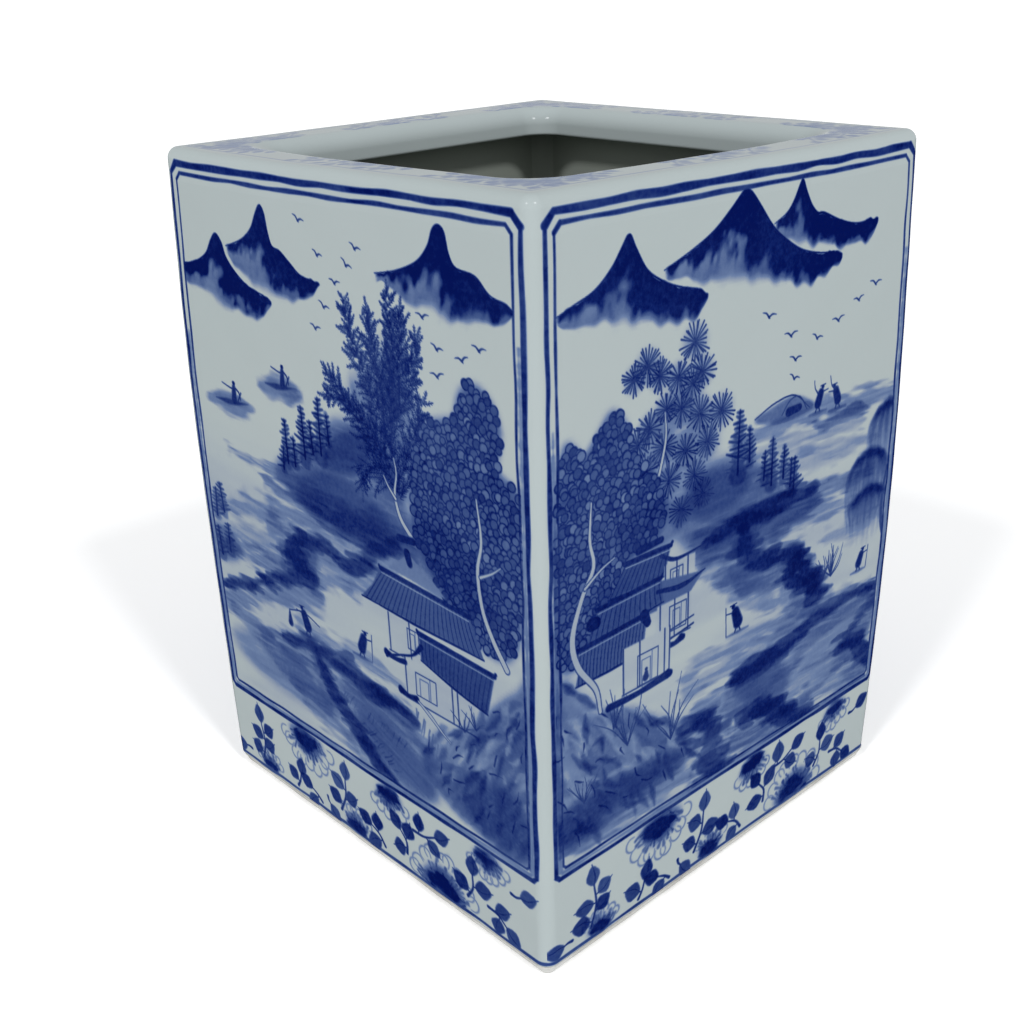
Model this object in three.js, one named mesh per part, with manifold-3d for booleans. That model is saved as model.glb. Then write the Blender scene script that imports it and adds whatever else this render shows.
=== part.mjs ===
// A square porcelain brush pot, slab-built: four mitred wall slabs, a floor slab between them, a rim
// plate with a rounded opening on top, bevelled foot strips below, and clay coils that back the
// inside seams. Millimetres, +Z up. The origin is the centre of the face that the pot stands on.
import * as THREE from "three";
import { mergeVertices } from "three/addons/utils/BufferGeometryUtils.js";
import Module from "manifold-3d";

// Driving dimensions
const side = 125; // outside width, the same both ways
const height = 170; // from the standing face to the top of the rim
const wallThickness = 6;
const cornerRadius = 3.2; // outside vertical edges
const rimThickness = 7.5;
const rimWidth = 16; // from the outside face to the opening
const openingCornerRadius = 7;
const rimEdgeRadius = 2.6; // rounding of the rim's outer edge and of the opening's edges
const floorThickness = 6.5;
const footHeight = 3.4;
const footWidth = 8;
const footBevel = 1.2; // how far the foot's outer face leans in at the bottom
const coilRadius = 5; // quarter-round coils in the inside corners
const seam = 0.3; // slip joint between neighbouring slabs

// Places that follow from them
const halfSide = side / 2;
const innerHalf = halfSide - wallThickness; // inside faces of the walls
const openingHalf = halfSide - rimWidth;
const wallBottom = footHeight + seam;
const rimUnderside = height - rimThickness;
const wallTop = rimUnderside - seam;
const floorTop = wallBottom + floorThickness;

const curveSegments = 8; // facets in a quarter turn
const mergeDistance = 1e-3;
const quarterTurn = Math.PI / 2;

const glaze = new THREE.MeshStandardMaterial({ color: 0xd3dad8, roughness: 0.12, metalness: 0 });
const bareClay = new THREE.MeshStandardMaterial({ color: 0xbdb9ac, roughness: 0.85, metalness: 0 });

const wasm = await Module();
wasm.setup();

// A closed three.js geometry as a manifold-3d solid.
function solid(geometry) {
  const shell = geometry.clone();
  shell.deleteAttribute("normal");
  shell.deleteAttribute("uv");
  const merged = mergeVertices(shell, mergeDistance);
  return new wasm.Manifold(
    new wasm.Mesh({
      numProp: 3,
      vertProperties: merged.attributes.position.array,
      triVerts: new Uint32Array(merged.index.array),
    }),
  );
}

// A manifold-3d solid as a three.js geometry.
function geometryOf(made) {
  const { vertProperties, triVerts } = made.getMesh();
  const geometry = new THREE.BufferGeometry();
  geometry.setAttribute("position", new THREE.BufferAttribute(vertProperties, 3));
  geometry.setIndex(new THREE.BufferAttribute(triVerts, 1));
  geometry.computeVertexNormals();
  return geometry;
}

// A square outline centred on the origin, with rounded corners.
function roundedSquare(half, radius) {
  const straight = half - radius;
  const outline = new THREE.Shape();
  outline.moveTo(half, -straight);
  outline.absarc(straight, straight, radius, 0, quarterTurn);
  outline.absarc(-straight, straight, radius, quarterTurn, 2 * quarterTurn);
  outline.absarc(-straight, -straight, radius, 2 * quarterTurn, 3 * quarterTurn);
  outline.absarc(straight, -straight, radius, 3 * quarterTurn, 4 * quarterTurn);
  return outline;
}

// A square outline with sharp corners.
function square(half) {
  const corners = [
    [half, -half],
    [half, half],
    [-half, half],
    [-half, -half],
  ];
  return new THREE.Shape(corners.map(([x, y]) => new THREE.Vector2(x, y)));
}

// An outline extruded straight up from z = bottom to z = top.
function prism(outline, bottom, top) {
  const geometry = new THREE.ExtrudeGeometry(outline, {
    depth: top - bottom,
    bevelEnabled: false,
    curveSegments,
  });
  return geometry.translate(0, 0, bottom);
}

// The quarter of the plan that belongs to the front side, less half a seam along both mitres.
function frontSector(bottom, top) {
  const reach = side; // well outside the pot
  const back = seam / Math.SQRT2;
  const outline = new THREE.Shape([
    new THREE.Vector2(0, -back),
    new THREE.Vector2(-reach, -reach - back),
    new THREE.Vector2(reach, -reach - back),
  ]);
  return solid(prism(outline, bottom, top));
}

function frontWall() {
  const ring = roundedSquare(halfSide, cornerRadius);
  ring.holes.push(square(innerHalf));
  const allWalls = solid(prism(ring, wallBottom, wallTop));
  return geometryOf(allWalls.intersect(frontSector(0, height)));
}

// The foot's outer face leans in towards the bottom, so it is the lower half of a chamfered block.
function frontFootStrip() {
  const chamfered = new THREE.ExtrudeGeometry(roundedSquare(halfSide, cornerRadius), {
    depth: footHeight,
    bevelThickness: footHeight,
    bevelSize: footBevel,
    bevelOffset: -footBevel,
    bevelSegments: 1,
    curveSegments,
  });
  const block = solid(chamfered.translate(0, 0, footHeight));
  const inside = solid(prism(square(halfSide - footWidth), -footHeight, 2 * footHeight));
  return geometryOf(block.subtract(inside).intersect(frontSector(0, footHeight)));
}

function rimPlate() {
  const outline = roundedSquare(halfSide, cornerRadius);
  outline.holes.push(roundedSquare(openingHalf, openingCornerRadius));
  const rounded = new THREE.ExtrudeGeometry(outline, {
    depth: rimThickness - 2 * rimEdgeRadius,
    bevelThickness: rimEdgeRadius,
    bevelSize: rimEdgeRadius,
    bevelOffset: -rimEdgeRadius,
    bevelSegments: 5,
    curveSegments,
  });
  const plate = solid(rounded.translate(0, 0, rimUnderside + rimEdgeRadius));
  // Where the plate stands on the walls its underside runs square to their outside faces.
  const seat = roundedSquare(halfSide, cornerRadius);
  seat.holes.push(square(innerHalf));
  const seatTop = rimUnderside + rimThickness / 2;
  return geometryOf(plate.add(solid(prism(seat, rimUnderside, seatTop))));
}

function floorSlab() {
  return prism(square(innerHalf - seam), wallBottom, floorTop);
}

// A quarter-round section with its square corner at the origin.
function coilSection() {
  const section = new THREE.Shape();
  section.moveTo(0, 0);
  section.lineTo(coilRadius, 0);
  section.absarc(0, 0, coilRadius, 0, quarterTurn);
  section.closePath();
  return section;
}

// Upright coil in the inside corner between the front and right walls.
function cornerCoil() {
  const corner = innerHalf - seam;
  const coil = prism(coilSection(), floorTop + seam, wallTop);
  return coil.rotateZ(quarterTurn).translate(corner, -corner, 0);
}

// Coil along the foot of the front wall, between two upright coils.
function floorCoil() {
  const halfLength = innerHalf - seam - coilRadius - seam;
  const coil = prism(coilSection(), -halfLength, halfLength);
  coil.rotateX(quarterTurn).rotateZ(quarterTurn);
  return coil.translate(0, -(innerHalf - seam), floorTop + seam);
}

function named(name, geometry, material) {
  const mesh = new THREE.Mesh(geometry, material);
  mesh.name = name;
  return mesh;
}

const pot = new THREE.Group();
pot.add(named("rim_plate", rimPlate(), glaze), named("floor_slab", floorSlab(), glaze));

const wallGeometry = frontWall();
const footGeometry = frontFootStrip();
const cornerCoilGeometry = cornerCoil();
const floorCoilGeometry = floorCoil();
const sides = ["front", "right", "back", "left"];
const corners = ["front_right", "back_right", "back_left", "front_left"];
sides.forEach((name, turns) => {
  const quarter = new THREE.Group();
  quarter.rotation.z = turns * quarterTurn;
  quarter.add(
    named(`${name}_wall`, wallGeometry, glaze),
    named(`${name}_foot_strip`, footGeometry, bareClay),
    named(`${name}_floor_coil`, floorCoilGeometry, glaze),
    named(`${corners[turns]}_corner_coil`, cornerCoilGeometry, glaze),
  );
  pot.add(quarter);
});

export default pot;
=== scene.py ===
"""A square blue-and-white porcelain brush pot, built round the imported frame. Blender 4.5.

The skin of each wall and of the rim is a grid that is fine where the painting has detail and coarse where
it has none. The painting is a raster of ink, made stroke by stroke, and the grid's points carry its values.
"""

import math

import bpy
import numpy as np
from mathutils import Matrix, Vector


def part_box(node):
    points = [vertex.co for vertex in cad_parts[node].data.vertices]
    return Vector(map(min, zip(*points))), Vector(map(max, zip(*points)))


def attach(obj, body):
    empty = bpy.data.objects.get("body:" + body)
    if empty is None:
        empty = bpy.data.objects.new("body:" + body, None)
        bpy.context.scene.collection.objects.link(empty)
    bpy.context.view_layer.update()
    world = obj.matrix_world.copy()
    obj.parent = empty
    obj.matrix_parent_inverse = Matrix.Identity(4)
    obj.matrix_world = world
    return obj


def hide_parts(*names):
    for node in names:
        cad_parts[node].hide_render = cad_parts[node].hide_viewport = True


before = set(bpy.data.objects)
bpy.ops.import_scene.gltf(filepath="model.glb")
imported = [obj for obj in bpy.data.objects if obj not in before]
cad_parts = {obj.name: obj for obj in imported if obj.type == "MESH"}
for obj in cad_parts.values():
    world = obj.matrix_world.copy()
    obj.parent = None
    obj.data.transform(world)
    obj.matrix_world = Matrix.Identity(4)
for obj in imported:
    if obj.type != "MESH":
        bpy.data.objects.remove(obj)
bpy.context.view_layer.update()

# ---------------------------------------------------------------------------------------------------
# Sizes in millimetres. Those of the CAD model are read from the frame.

MM = 0.001


def node_box(name):
    """The low and high corners of a CAD node."""
    low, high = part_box(name)
    return np.array(low) / MM, np.array(high) / MM


RIM_LOW, RIM_HIGH = node_box("rim_plate")
WALL_LOW, WALL_HIGH = node_box("front_wall")
FOOT_LOW, FOOT_HIGH = node_box("front_foot_strip")
FLOOR_TOP = node_box("floor_slab")[1][2]
COIL_LOW, COIL_HIGH = node_box("front_right_corner_coil")

SIDE = RIM_HIGH[0] - RIM_LOW[0]
HEIGHT = RIM_HIGH[2]
HALF = SIDE / 2
RIM_BOTTOM = RIM_LOW[2]
FOOT_TOP = FOOT_HIGH[2]
FOOT_WIDTH = FOOT_HIGH[1] - FOOT_LOW[1]
WALL = WALL_HIGH[1] - WALL_LOW[1]
INNER = HALF - WALL  # inside faces of the walls
COIL = COIL_HIGH[0] - COIL_LOW[0]

CORNER = 3.2  # radius of the outside vertical edges
RIM_WIDTH = 16.0  # from the outside face to the opening
MOUTH_CORNER = 7.0  # radius of the opening's corners
LIP = 2.6  # rounding of the rim's outer edge
MOUTH_LIP = 4.6  # of the mouth's upper edge
UNDER_LIP = 0.7  # and of its lower edge
SKEW = 2.4  # how much wider the rim is at the front left than at the front right
SWELL = 1.2  # how far the fired pot stands out at mid-height
RISE = 1.4  # how far the rim's front right corner stands up
SUNK = 0.12  # how far a skin lies inside the true face on average, as it is uneven
STRAIGHT = HALF - CORNER
REACH = STRAIGHT + CORNER * math.pi / 4  # half a wall's skin, from its middle to the mitre round the edge


QUARTERS = ((1, 0), (0, 1), (-1, 0), (0, -1))  # the cosine and sine of each quarter turn

# ---------------------------------------------------------------------------------------------------
# Brushwork. A panel is a raster of ink, from 0 for bare glaze to 1 for the deepest cobalt. Places on it
# are millimetres from its top left corner, x to the right and y down.

RES = 8.0  # raster points per millimetre
TAU = 2 * math.pi


def vec(*values):
    """A place or a step on a panel."""
    return np.array(values, float)


def heading(angle):
    """The unit vector at an angle from the x direction, turning towards +y, which is down."""
    return vec(math.cos(angle), math.sin(angle))


def curve(points, closed=False, step=0.8):
    """A smooth run of points through the given ones."""
    points = np.asarray(points, float)
    if closed:
        padded = np.vstack([points[-1], points, points[:2]])
    else:
        padded = np.vstack([2 * points[0] - points[1], points, 2 * points[-1] - points[-2]])
    made = []
    for a, b, c, d in zip(padded, padded[1:], padded[2:], padded[3:], strict=False):
        count = max(int(np.linalg.norm(c - b) / step), 2)
        t = (np.arange(count) / count)[:, None]
        made.append(
            0.5 * (2 * b + (c - a) * t + (2 * a - 5 * b + 4 * c - d) * t**2 + (3 * b - a - 3 * c + d) * t**3)
        )
    if not closed:
        made.append(points[-1:])
    return np.vstack(made)


def smoothstep(t):
    """Eases from 0 to 1 as t goes from 0 to 1."""
    t = np.clip(t, 0, 1)
    return t * t * (3 - 2 * t)


def value_noise(x, y, seed):
    """Smooth noise from 0 to 1 with one random value per unit square."""
    table = np.random.default_rng(seed).random((64, 64), dtype=np.float32)
    x0, y0 = np.floor(x), np.floor(y)
    tx, ty = smoothstep(x - x0), smoothstep(y - y0)
    i, j = x0.astype(int) % 64, y0.astype(int) % 64
    i1, j1 = (i + 1) % 64, (j + 1) % 64
    upper = table[j, i] * (1 - tx) + table[j, i1] * tx
    lower = table[j1, i] * (1 - tx) + table[j1, i1] * tx
    return upper * (1 - ty) + lower * ty


def soften(field, radius):
    """Blurs a field over about radius millimetres."""
    reach = int(radius * RES)
    if reach < 1 or field.size == 0:
        return field
    size = 2 * reach + 1
    for axis in (0, 1, 0, 1):
        field = np.moveaxis(field, axis, 0)
        padded = np.concatenate([np.repeat(field[:1], reach + 1, 0), field, np.repeat(field[-1:], reach, 0)])
        total = np.cumsum(padded, axis=0, dtype=np.float64)
        field = ((total[size:] - total[:-size]) / size).astype(np.float32)
        field = np.moveaxis(field, 0, axis)
    return field


def inside(outline, x, y):
    """Which raster points lie inside a closed outline."""
    found = np.zeros((len(y), len(x)), bool)
    for (x0, y0), (x1, y1) in zip(outline, np.roll(outline, -1, axis=0), strict=True):
        rows = (y0 <= y) != (y1 <= y)
        if rows.any():
            crossing = x0 + (y[rows] - y0) * (x1 - x0) / (y1 - y0)
            found[rows] ^= x[None, :] > crossing[:, None]
    return found


class Panel:
    """One painted surface: its ink, and the strokes and washes that everything on it is made of."""

    def __init__(self, width, height, seed):
        self.width, self.height = width, height
        self.ink = np.zeros((round(height * RES), round(width * RES)), np.float32)
        self.limits = (0, 0, width, height)  # nothing is painted outside these
        self.rng = np.random.default_rng(seed)

    def window(self, x0, y0, x1, y1):
        """The part of the raster between two corners, with the places of its columns and rows."""
        left, top, right, bottom = self.limits
        cols = slice(max(int(max(x0, left) * RES), 0), max(int(min(x1, right) * RES), 0))
        rows = slice(max(int(max(y0, top) * RES), 0), max(int(min(y1, bottom) * RES), 0))
        x = (np.arange(cols.start, max(cols.stop, cols.start), dtype=np.float32) + 0.5) / RES
        y = (np.arange(rows.start, max(rows.stop, rows.start), dtype=np.float32) + 0.5) / RES
        return (slice(rows.start, rows.start + len(y)), slice(cols.start, cols.start + len(x))), x, y

    def around(self, points, margin):
        """The window that holds the points and a margin."""
        points = np.asarray(points)
        (x0, y0), (x1, y1) = points.min(axis=0) - margin, points.max(axis=0) + margin
        return self.window(x0, y0, x1, y1)

    def glaze(self, place, amount):
        """Adds a see-through layer over what is there."""
        self.ink[place] += (1 - self.ink[place]) * np.clip(amount, 0, 1)

    def line(self, place, amount):
        """Adds a dense line, which doesn't build up where it crosses itself."""
        self.ink[place] = np.maximum(self.ink[place], np.clip(amount, 0, 1))

    def wipe(self, place, cover, tone=0.0):
        """Takes the ink to one tone, as where the painter left the clay bare."""
        self.ink[place] += (tone - self.ink[place]) * cover

    def grain(self, x, y, angle=0.0, length=9.0, width=0.8):
        """Brush streaks from 0 to 1, running along an angle."""
        seed = int(self.rng.integers(1 << 30))
        c, s = math.cos(angle), math.sin(angle)
        gx, gy = x[None, :], y[:, None]
        along, across = gx * c + gy * s, gy * c - gx * s
        across = across + 0.12 * length * value_noise(along / length, across / (6 * width), seed + 1)
        coarse = value_noise(along / length, across / width, seed)
        fine = value_noise(along / length * 1.7, across / width * 2.3, seed + 2)
        return 0.65 * coarse + 0.35 * fine

    def depth(self, start, end, x, y, radius, end_radius):
        """How far each raster point is inside a tapered straight stretch of brush."""
        (x0, y0), (x1, y1) = start, end
        dx, dy = x1 - x0, y1 - y0
        px, py = x[None, :] - x0, y[:, None] - y0
        t = np.clip((px * dx + py * dy) / max(dx * dx + dy * dy, 1e-6), 0, 1)
        return radius + (end_radius - radius) * t - np.hypot(px - t * dx, py - t * dy)

    def dab(self, start, end, width=0.35, end_width=0.15, tone=0.85, soft=0.0):
        """One short straight touch of the brush."""
        start, end = vec(*start), vec(*end)
        place, x, y = self.around([start, end], max(width, end_width) / 2 + soft + 0.3)
        depth = self.depth(start, end, x, y, width / 2, end_width / 2)
        self.line(place, tone * np.clip(depth / (soft + 1.2 / RES) + 0.5, 0, 1))

    def sweep(self, points, widths, soft=0.0, ragged=0.0):
        """Where a long stroke covers the panel, and how far. The widths are spread evenly along it,
        and a ragged one's edges wander by so many millimetres."""
        path = curve(points, step=0.9)
        at = np.linspace(0, 1, len(path))
        width = np.interp(at, np.linspace(0, 1, len(widths)), widths)
        margin = soft + ragged + 0.3
        place, x, y = self.around(path, max(widths) / 2 + margin)
        depth = np.full((len(y), len(x)), -99, np.float32)
        for a, b, wa, wb in zip(path, path[1:], width, width[1:], strict=False):
            reach = max(wa, wb) / 2 + margin
            cols = slice(*np.searchsorted(x, (min(a[0], b[0]) - reach, max(a[0], b[0]) + reach)))
            rows = slice(*np.searchsorted(y, (min(a[1], b[1]) - reach, max(a[1], b[1]) + reach)))
            piece = self.depth(a, b, x[cols], y[rows], wa / 2, wb / 2)
            depth[rows, cols] = np.maximum(depth[rows, cols], piece)
        if ragged:
            depth += ragged * (3.0 * self.grain(x, y, 0.08, 6.0, 1.5) - 1.5)
        return place, x, y, np.clip(depth / (soft + 1.2 / RES) + 0.5, 0, 1)

    def stroke(self, points, widths, tone=0.85, soft=0.0):
        """A long dense brush stroke."""
        place, _, _, cover = self.sweep(points, widths, soft)
        self.line(place, tone * cover)

    def smear(self, points, widths, tone, soft, ragged=0.0, streak=0.0, grain=(), most=1.0):
        """A see-through stroke, from most of its tone where its grain is lightest to less by a streak."""
        place, x, y, cover = self.sweep(points, widths, soft, ragged)
        amount = tone * cover
        if streak:
            amount = amount * (most - streak * self.grain(x, y, *grain))
        self.glaze(place, amount)

    def reserve(self, points, widths, edge=0.22):
        """A pale stroke left bare between two thin dark edges, as tree trunks are."""
        self.stroke(points, [0.8 * w + 2 * edge for w in widths], 0.85)
        place, _, _, cover = self.sweep(points, [0.8 * w for w in widths])
        self.wipe(place, cover, 0.06)

    def wash(self, outline, tone, soft=0.7, angle=0.0, streak=0.5, pool=0.15, length=9.0, width=0.8):
        """A watery wash inside a smooth closed outline, streaked by the brush and darker at its edge."""
        outline = curve(outline, closed=True)
        place, x, y = self.around(outline, 2 * soft + 0.3)
        if not len(x) or not len(y):
            return
        cover = soften(inside(outline, x, y).astype(np.float32), soft)
        cover = cover * (1 - streak * self.grain(x, y, angle, length, width))
        rim = 4 * cover * (1 - cover)
        self.glaze(place, tone * (cover + pool * rim))

    def flat(self, corners, tone):
        """A straight-sided shape in one tone, replacing what is there."""
        place, x, y = self.around(corners, 0.4)
        self.wipe(place, soften(inside(corners, x, y).astype(np.float32), 0.13), tone)

    def stretch(self, moves, axis):
        """Moves what is painted along an axis by a smooth function of the place on it."""
        size = self.ink.shape[axis]
        place = (np.arange(size) + 0.5) / RES
        source = np.interp(place, place + moves(place), np.arange(size))
        first = np.minimum(source.astype(int), size - 2)
        share = (source - first).astype(np.float32)
        share = share[:, None] if axis == 0 else share[None, :]
        near, far = np.take(self.ink, first, axis), np.take(self.ink, first + 1, axis)
        self.ink = near * (1 - share) + far * share

    def wobble(self, size):
        """A random step, such as an unsteady hand makes."""
        return self.rng.normal(0, size, 2)


# Motifs


def peak(panel, ridge, foot):
    """A far mountain: dense from its summit down, with a paler blotchy foot that is widest on the left."""
    tone, light = 1.0, 0.56
    summit = min(ridge, key=lambda p: p[1])
    ridge, foot = curve(ridge, step=0.4), curve(foot, step=0.4)
    place, x, y = panel.around(np.vstack([ridge, foot]), 2.0)
    upper = np.interp(x, ridge[:, 0], ridge[:, 1])
    lower = np.interp(x, foot[:, 0], foot[:, 1])
    lumps = value_noise(x / 2.6, 0 * x, int(panel.rng.integers(1 << 30)))
    bumps = value_noise(x / 1.4, 0 * x, int(panel.rng.integers(1 << 30)))
    upper = upper + 0.7 * (bumps - 0.5) * smoothstep(np.abs(x - summit[0]) / 6)
    lower = lower - 1.9 * lumps + 0.8
    round_end = np.sqrt(1 - np.clip((x - ridge[-1, 0] + 3.2) / 3.4, 0, 1) ** 2)
    middle = (upper + lower) / 2
    upper, lower = middle + (upper - middle) * round_end, middle + (lower - middle) * round_end
    depth = (y[:, None] - upper) / np.maximum(lower - upper, 0.4)
    ends = smoothstep((x - ridge[0, 0]) / 1.4) * smoothstep((ridge[-1, 0] + 0.2 - x) / 0.5)
    left = smoothstep((summit[0] - x[None, :]) / 6 + 0.5)
    body = np.clip((y[:, None] - upper) * RES / 2 + 0.5, 0, 1) * smoothstep((1.04 - depth) / 0.22) * ends
    blots = panel.grain(x, y, 1.9, 3.4, 2.2)
    fall = smoothstep((depth - 0.6 + 0.3 * left + 0.75 * (blots - 0.5)) / 0.34)
    shade = tone + (light - 0.14 * left - tone) * fall * (0.75 + 0.4 * blots)
    panel.glaze(place, body * np.clip(shade, 0.05, 1))
    crest = ridge[ridge[:, 0] < ridge[-1, 0] - 3]
    panel.stroke(crest[:: max(len(crest) // 40, 1)], [0.2, 0.45, 0.6, 0.45, 0.3], tone)


def bird(panel, place, span, tilt=0.0):
    """A far bird: two short wings that meet in a point."""
    body = vec(*place)
    for side, lift in ((-1, -2.5), (1, -0.55)):
        angle = lift + tilt
        middle = body + 0.5 * span * 0.55 * heading(angle) + vec(0, -0.12)
        tip = body + span * 0.55 * heading(angle + 0.25 * side)
        panel.stroke([body, middle, tip], [0.5, 0.36, 0.14], 0.85)
    panel.dab(body, body + vec(0.35, 0.25), 0.45, 0.25)


def flock(panel, places, span, tilt, spread):
    """Birds about a span wide, each tilted its own way."""
    for place in places:
        bird(panel, place, span * panel.rng.uniform(0.9, 1.1), panel.rng.normal(tilt, spread))


def sprig(panel, base, angle, length, leaf, tone=0.86):
    """A twig of short paired leaves that shorten towards its tip."""
    bend = panel.rng.normal(0, 0.3)
    steps = max(int(length / 0.62), 3)
    point = vec(*base)
    for i in range(steps + 1):
        share = i / steps
        along = angle + bend * share
        following = point + length / steps * heading(along)
        panel.dab(point, following, 0.26, 0.22, tone)
        for side in (-1, 1):
            reach = leaf * (1 - 0.5 * share) * panel.rng.uniform(0.75, 1.2)
            turn = along + side * panel.rng.uniform(0.55, 1.0)
            panel.dab(point, point + reach * heading(turn), 0.34, 0.16, tone * panel.rng.uniform(0.8, 1.05))
        point = following


def feather_tree(panel, limbs, crown):
    """A tree of feathery sprigs that grow off its limbs, over a wash the shape of its crown."""
    leaf, spacing = 1.55, 0.8
    panel.wash(crown, 0.6, soft=1.8, angle=1.2, streak=0.7, pool=0.0, length=4.0, width=2.0)
    for limb in limbs:
        path = curve(limb, step=spacing)
        for i, (here, there) in enumerate(zip(path, path[1:], strict=False)):
            share = i / len(path)
            along = math.atan2(*(there - here)[::-1])
            for side in (-1, 1):
                angle = along + side * panel.rng.uniform(0.3, 1.1)
                length = (7.0 - 4.4 * share) * panel.rng.uniform(0.35, 1.2)
                sprig(panel, here + panel.wobble(0.5), angle, length, leaf * (1 - 0.35 * share), 0.95)
        sprig(panel, path[-1], along, 2.6, leaf * 0.7)


def scatter(panel, outline, spacing):
    """Places about a spacing apart, row by row, inside a smooth closed outline."""
    outline = curve(outline, closed=True)
    (x0, y0), (x1, y1) = outline.min(axis=0), outline.max(axis=0)
    found = []
    for row, y in enumerate(np.arange(y0, y1, spacing * 0.86)):
        for x in np.arange(x0 + spacing / 2 * (row % 2), x1, spacing):
            place = vec(x, y) + panel.wobble(0.22 * spacing)
            if inside(outline, place[:1], place[1:])[0, 0]:
                found.append(place)
    return found


def ring_crown(panel, outline, leaf=1.08):
    """A crown of round leaves: mid-blue discs with dark edges over a dark ground."""
    dark, pale = 0.9, 0.42
    panel.wash(outline, dark * 0.78, soft=0.9, streak=0.4, pool=0.0, length=6.0, width=3.0)
    for place in scatter(panel, outline, 1.72 * leaf):
        radius = leaf * panel.rng.uniform(0.72, 1.12)
        panel.dab(place, place + panel.wobble(0.15), 2 * radius + 0.5, 2 * radius + 0.4, dark)
        window, x, y = panel.around([place], radius)
        disc = np.clip((radius - 0.1 - np.hypot(x[None, :] - place[0], y[:, None] - place[1])) * 5 + 0.5, 0,
            1)
        panel.wipe(window, disc * panel.rng.uniform(0.3, 1.0), pale * panel.rng.uniform(0.75, 1.35))


def needle_burst(panel, centre, radius):
    """A tuft of pine needles, seen from its end."""
    centre, spokes, tone = vec(*centre), 26, 0.86
    place, x, y = panel.around([centre], radius * 1.2)
    distance = np.hypot(x[None, :] - centre[0], y[:, None] - centre[1])
    panel.glaze(place, 0.32 * smoothstep(1.2 - distance / radius))
    first = panel.rng.uniform(0, TAU)
    for i in range(spokes):
        angle = first + TAU * i / spokes + panel.rng.normal(0, 0.07)
        reach = radius * panel.rng.uniform(0.72, 1.08)
        tip = centre + reach * heading(angle)
        panel.dab(centre + 0.12 * radius * heading(angle), tip, 0.24, 0.4,
            tone * panel.rng.uniform(0.9, 1.12))
    panel.dab(centre, centre + vec(0.05, 0), 1.3, 1.3, tone, soft=0.5)


def spruce(panel, foot, height, tone=0.92):
    """A small far conifer: a stem with short drooping tiers."""
    foot = vec(*foot)
    top = foot - vec(panel.rng.normal(0, 0.3), height)
    panel.dab(foot, top, 0.8, 0.35, tone)
    panel.smear([top, foot], [0.4, 0.4 * height], 0.5 * tone, 0.6, 0.6)
    tiers = max(int(height / 1.1), 4)
    for i in range(tiers):
        share = (i + 0.5) / tiers
        place = top + (foot - top) * share
        for side in (-1, 1):
            reach = (0.9 + 0.33 * height * share) * panel.rng.uniform(0.6, 1.1)
            tip = place + reach * heading(-math.pi / 2 + side * panel.rng.uniform(1.1, 1.7))
            panel.dab(place, tip, 1.2, 0.5, tone * panel.rng.uniform(0.75, 1.0), soft=0.35)


def willow(panel, top, width, drop, tone=0.9):
    """A dark head with soft strands that hang from it and fade."""
    top, strands = vec(*top), 60
    for i in range(strands):
        share = (i + 0.5) / strands * 2 - 1
        start = top + vec(share * width * 0.36, abs(share) * 1.6) + panel.wobble(0.4)
        end = top + vec(share * width * 0.55, drop * (1 - 0.35 * abs(share)) * panel.rng.uniform(0.5, 1.05))
        middle = (start + end) / 2 + vec(share * width * 0.14, -drop * 0.08)
        place, _, y, cover = panel.sweep([start, middle, end], [1.5, 1.1, 0.5], 0.5)
        fade = 1 - 0.85 * smoothstep((y[:, None] - top[1]) / drop)
        panel.glaze(place, 0.2 * tone * cover * fade)
    head = [(-0.46, 3.0), (-0.3, 0.4), (0, -1.2), (0.3, 0.4), (0.46, 3.0), (0.2, 1.9), (-0.2, 1.9)]
    panel.wash([top + vec(x * width, y) for x, y in head], tone, soft=0.7, streak=0.35, pool=0.0)


def tuft(panel, root, height, blades, spread=0.9):
    """A clump of grass or a leafless shrub."""
    root = vec(*root)
    for _ in range(blades):
        angle = -math.pi / 2 + panel.rng.uniform(-spread, spread)
        reach = height * panel.rng.uniform(0.55, 1.1)
        middle = root + 0.55 * reach * heading(angle)
        tip = middle + 0.5 * reach * heading(angle + 0.5 * panel.rng.uniform(-1, 1))
        panel.stroke([root, middle, tip], [0.42, 0.3, 0.14], 0.8)


def hatch(panel, start, end, count, stroke, tone, width=0.55):
    """Parallel brush marks set out along a line, each as long and steep as the given stroke."""
    start, end, stroke = vec(*start), vec(*end), vec(*stroke)
    for share in np.linspace(0, 1, count):
        place = start + (end - start) * share + panel.wobble(0.35)
        tip = place + stroke * panel.rng.uniform(0.6, 1.2) + panel.wobble(0.25)
        bow = (place + tip) / 2 + panel.wobble(0.3)
        panel.stroke([place, bow, tip], [width, width * 0.8, 0.15], tone * panel.rng.uniform(0.7, 1.1), 0.2)


def bank(panel, points, widths, tone, spill=0.4):
    """The edge of a path or shore: dense wet brushwork with a pale wash spilling below it."""
    points = np.asarray(points, float)
    panel.smear(points + vec(0.5, 3.5), [w * 2.0 for w in widths], spill, 1.8, 1.6, 0.75, (0.1,))
    panel.smear(points, widths, tone, 0.9, 1.1, 0.55, (0.1, 7.0, 1.0))
    path = curve(points, step=1.6)
    width = np.interp(np.linspace(0, 1, len(path)), np.linspace(0, 1, len(widths)), widths)
    for middle, w in zip(path, width, strict=True):
        reach = vec(w * panel.rng.uniform(0.4, 1.2), panel.rng.normal(0, 0.4))
        middle = middle + panel.rng.normal(0, 0.28) * vec(0.6 * w, w)
        touch = [middle - reach, middle, middle + reach]
        place, _, _, cover = panel.sweep(touch, [0.2 * w, 0.55 * w, 0.3 * w], 0.6, 0.7)
        panel.glaze(place, panel.rng.uniform(0.15, 0.75) * tone * cover)


def mist(panel, points, widths, tone):
    """A pale streaky wash drawn along a path."""
    panel.smear(points, widths, tone, 1.8, 1.8, 0.85, (0.05, 11.0, 0.8), most=1.1)


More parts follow.
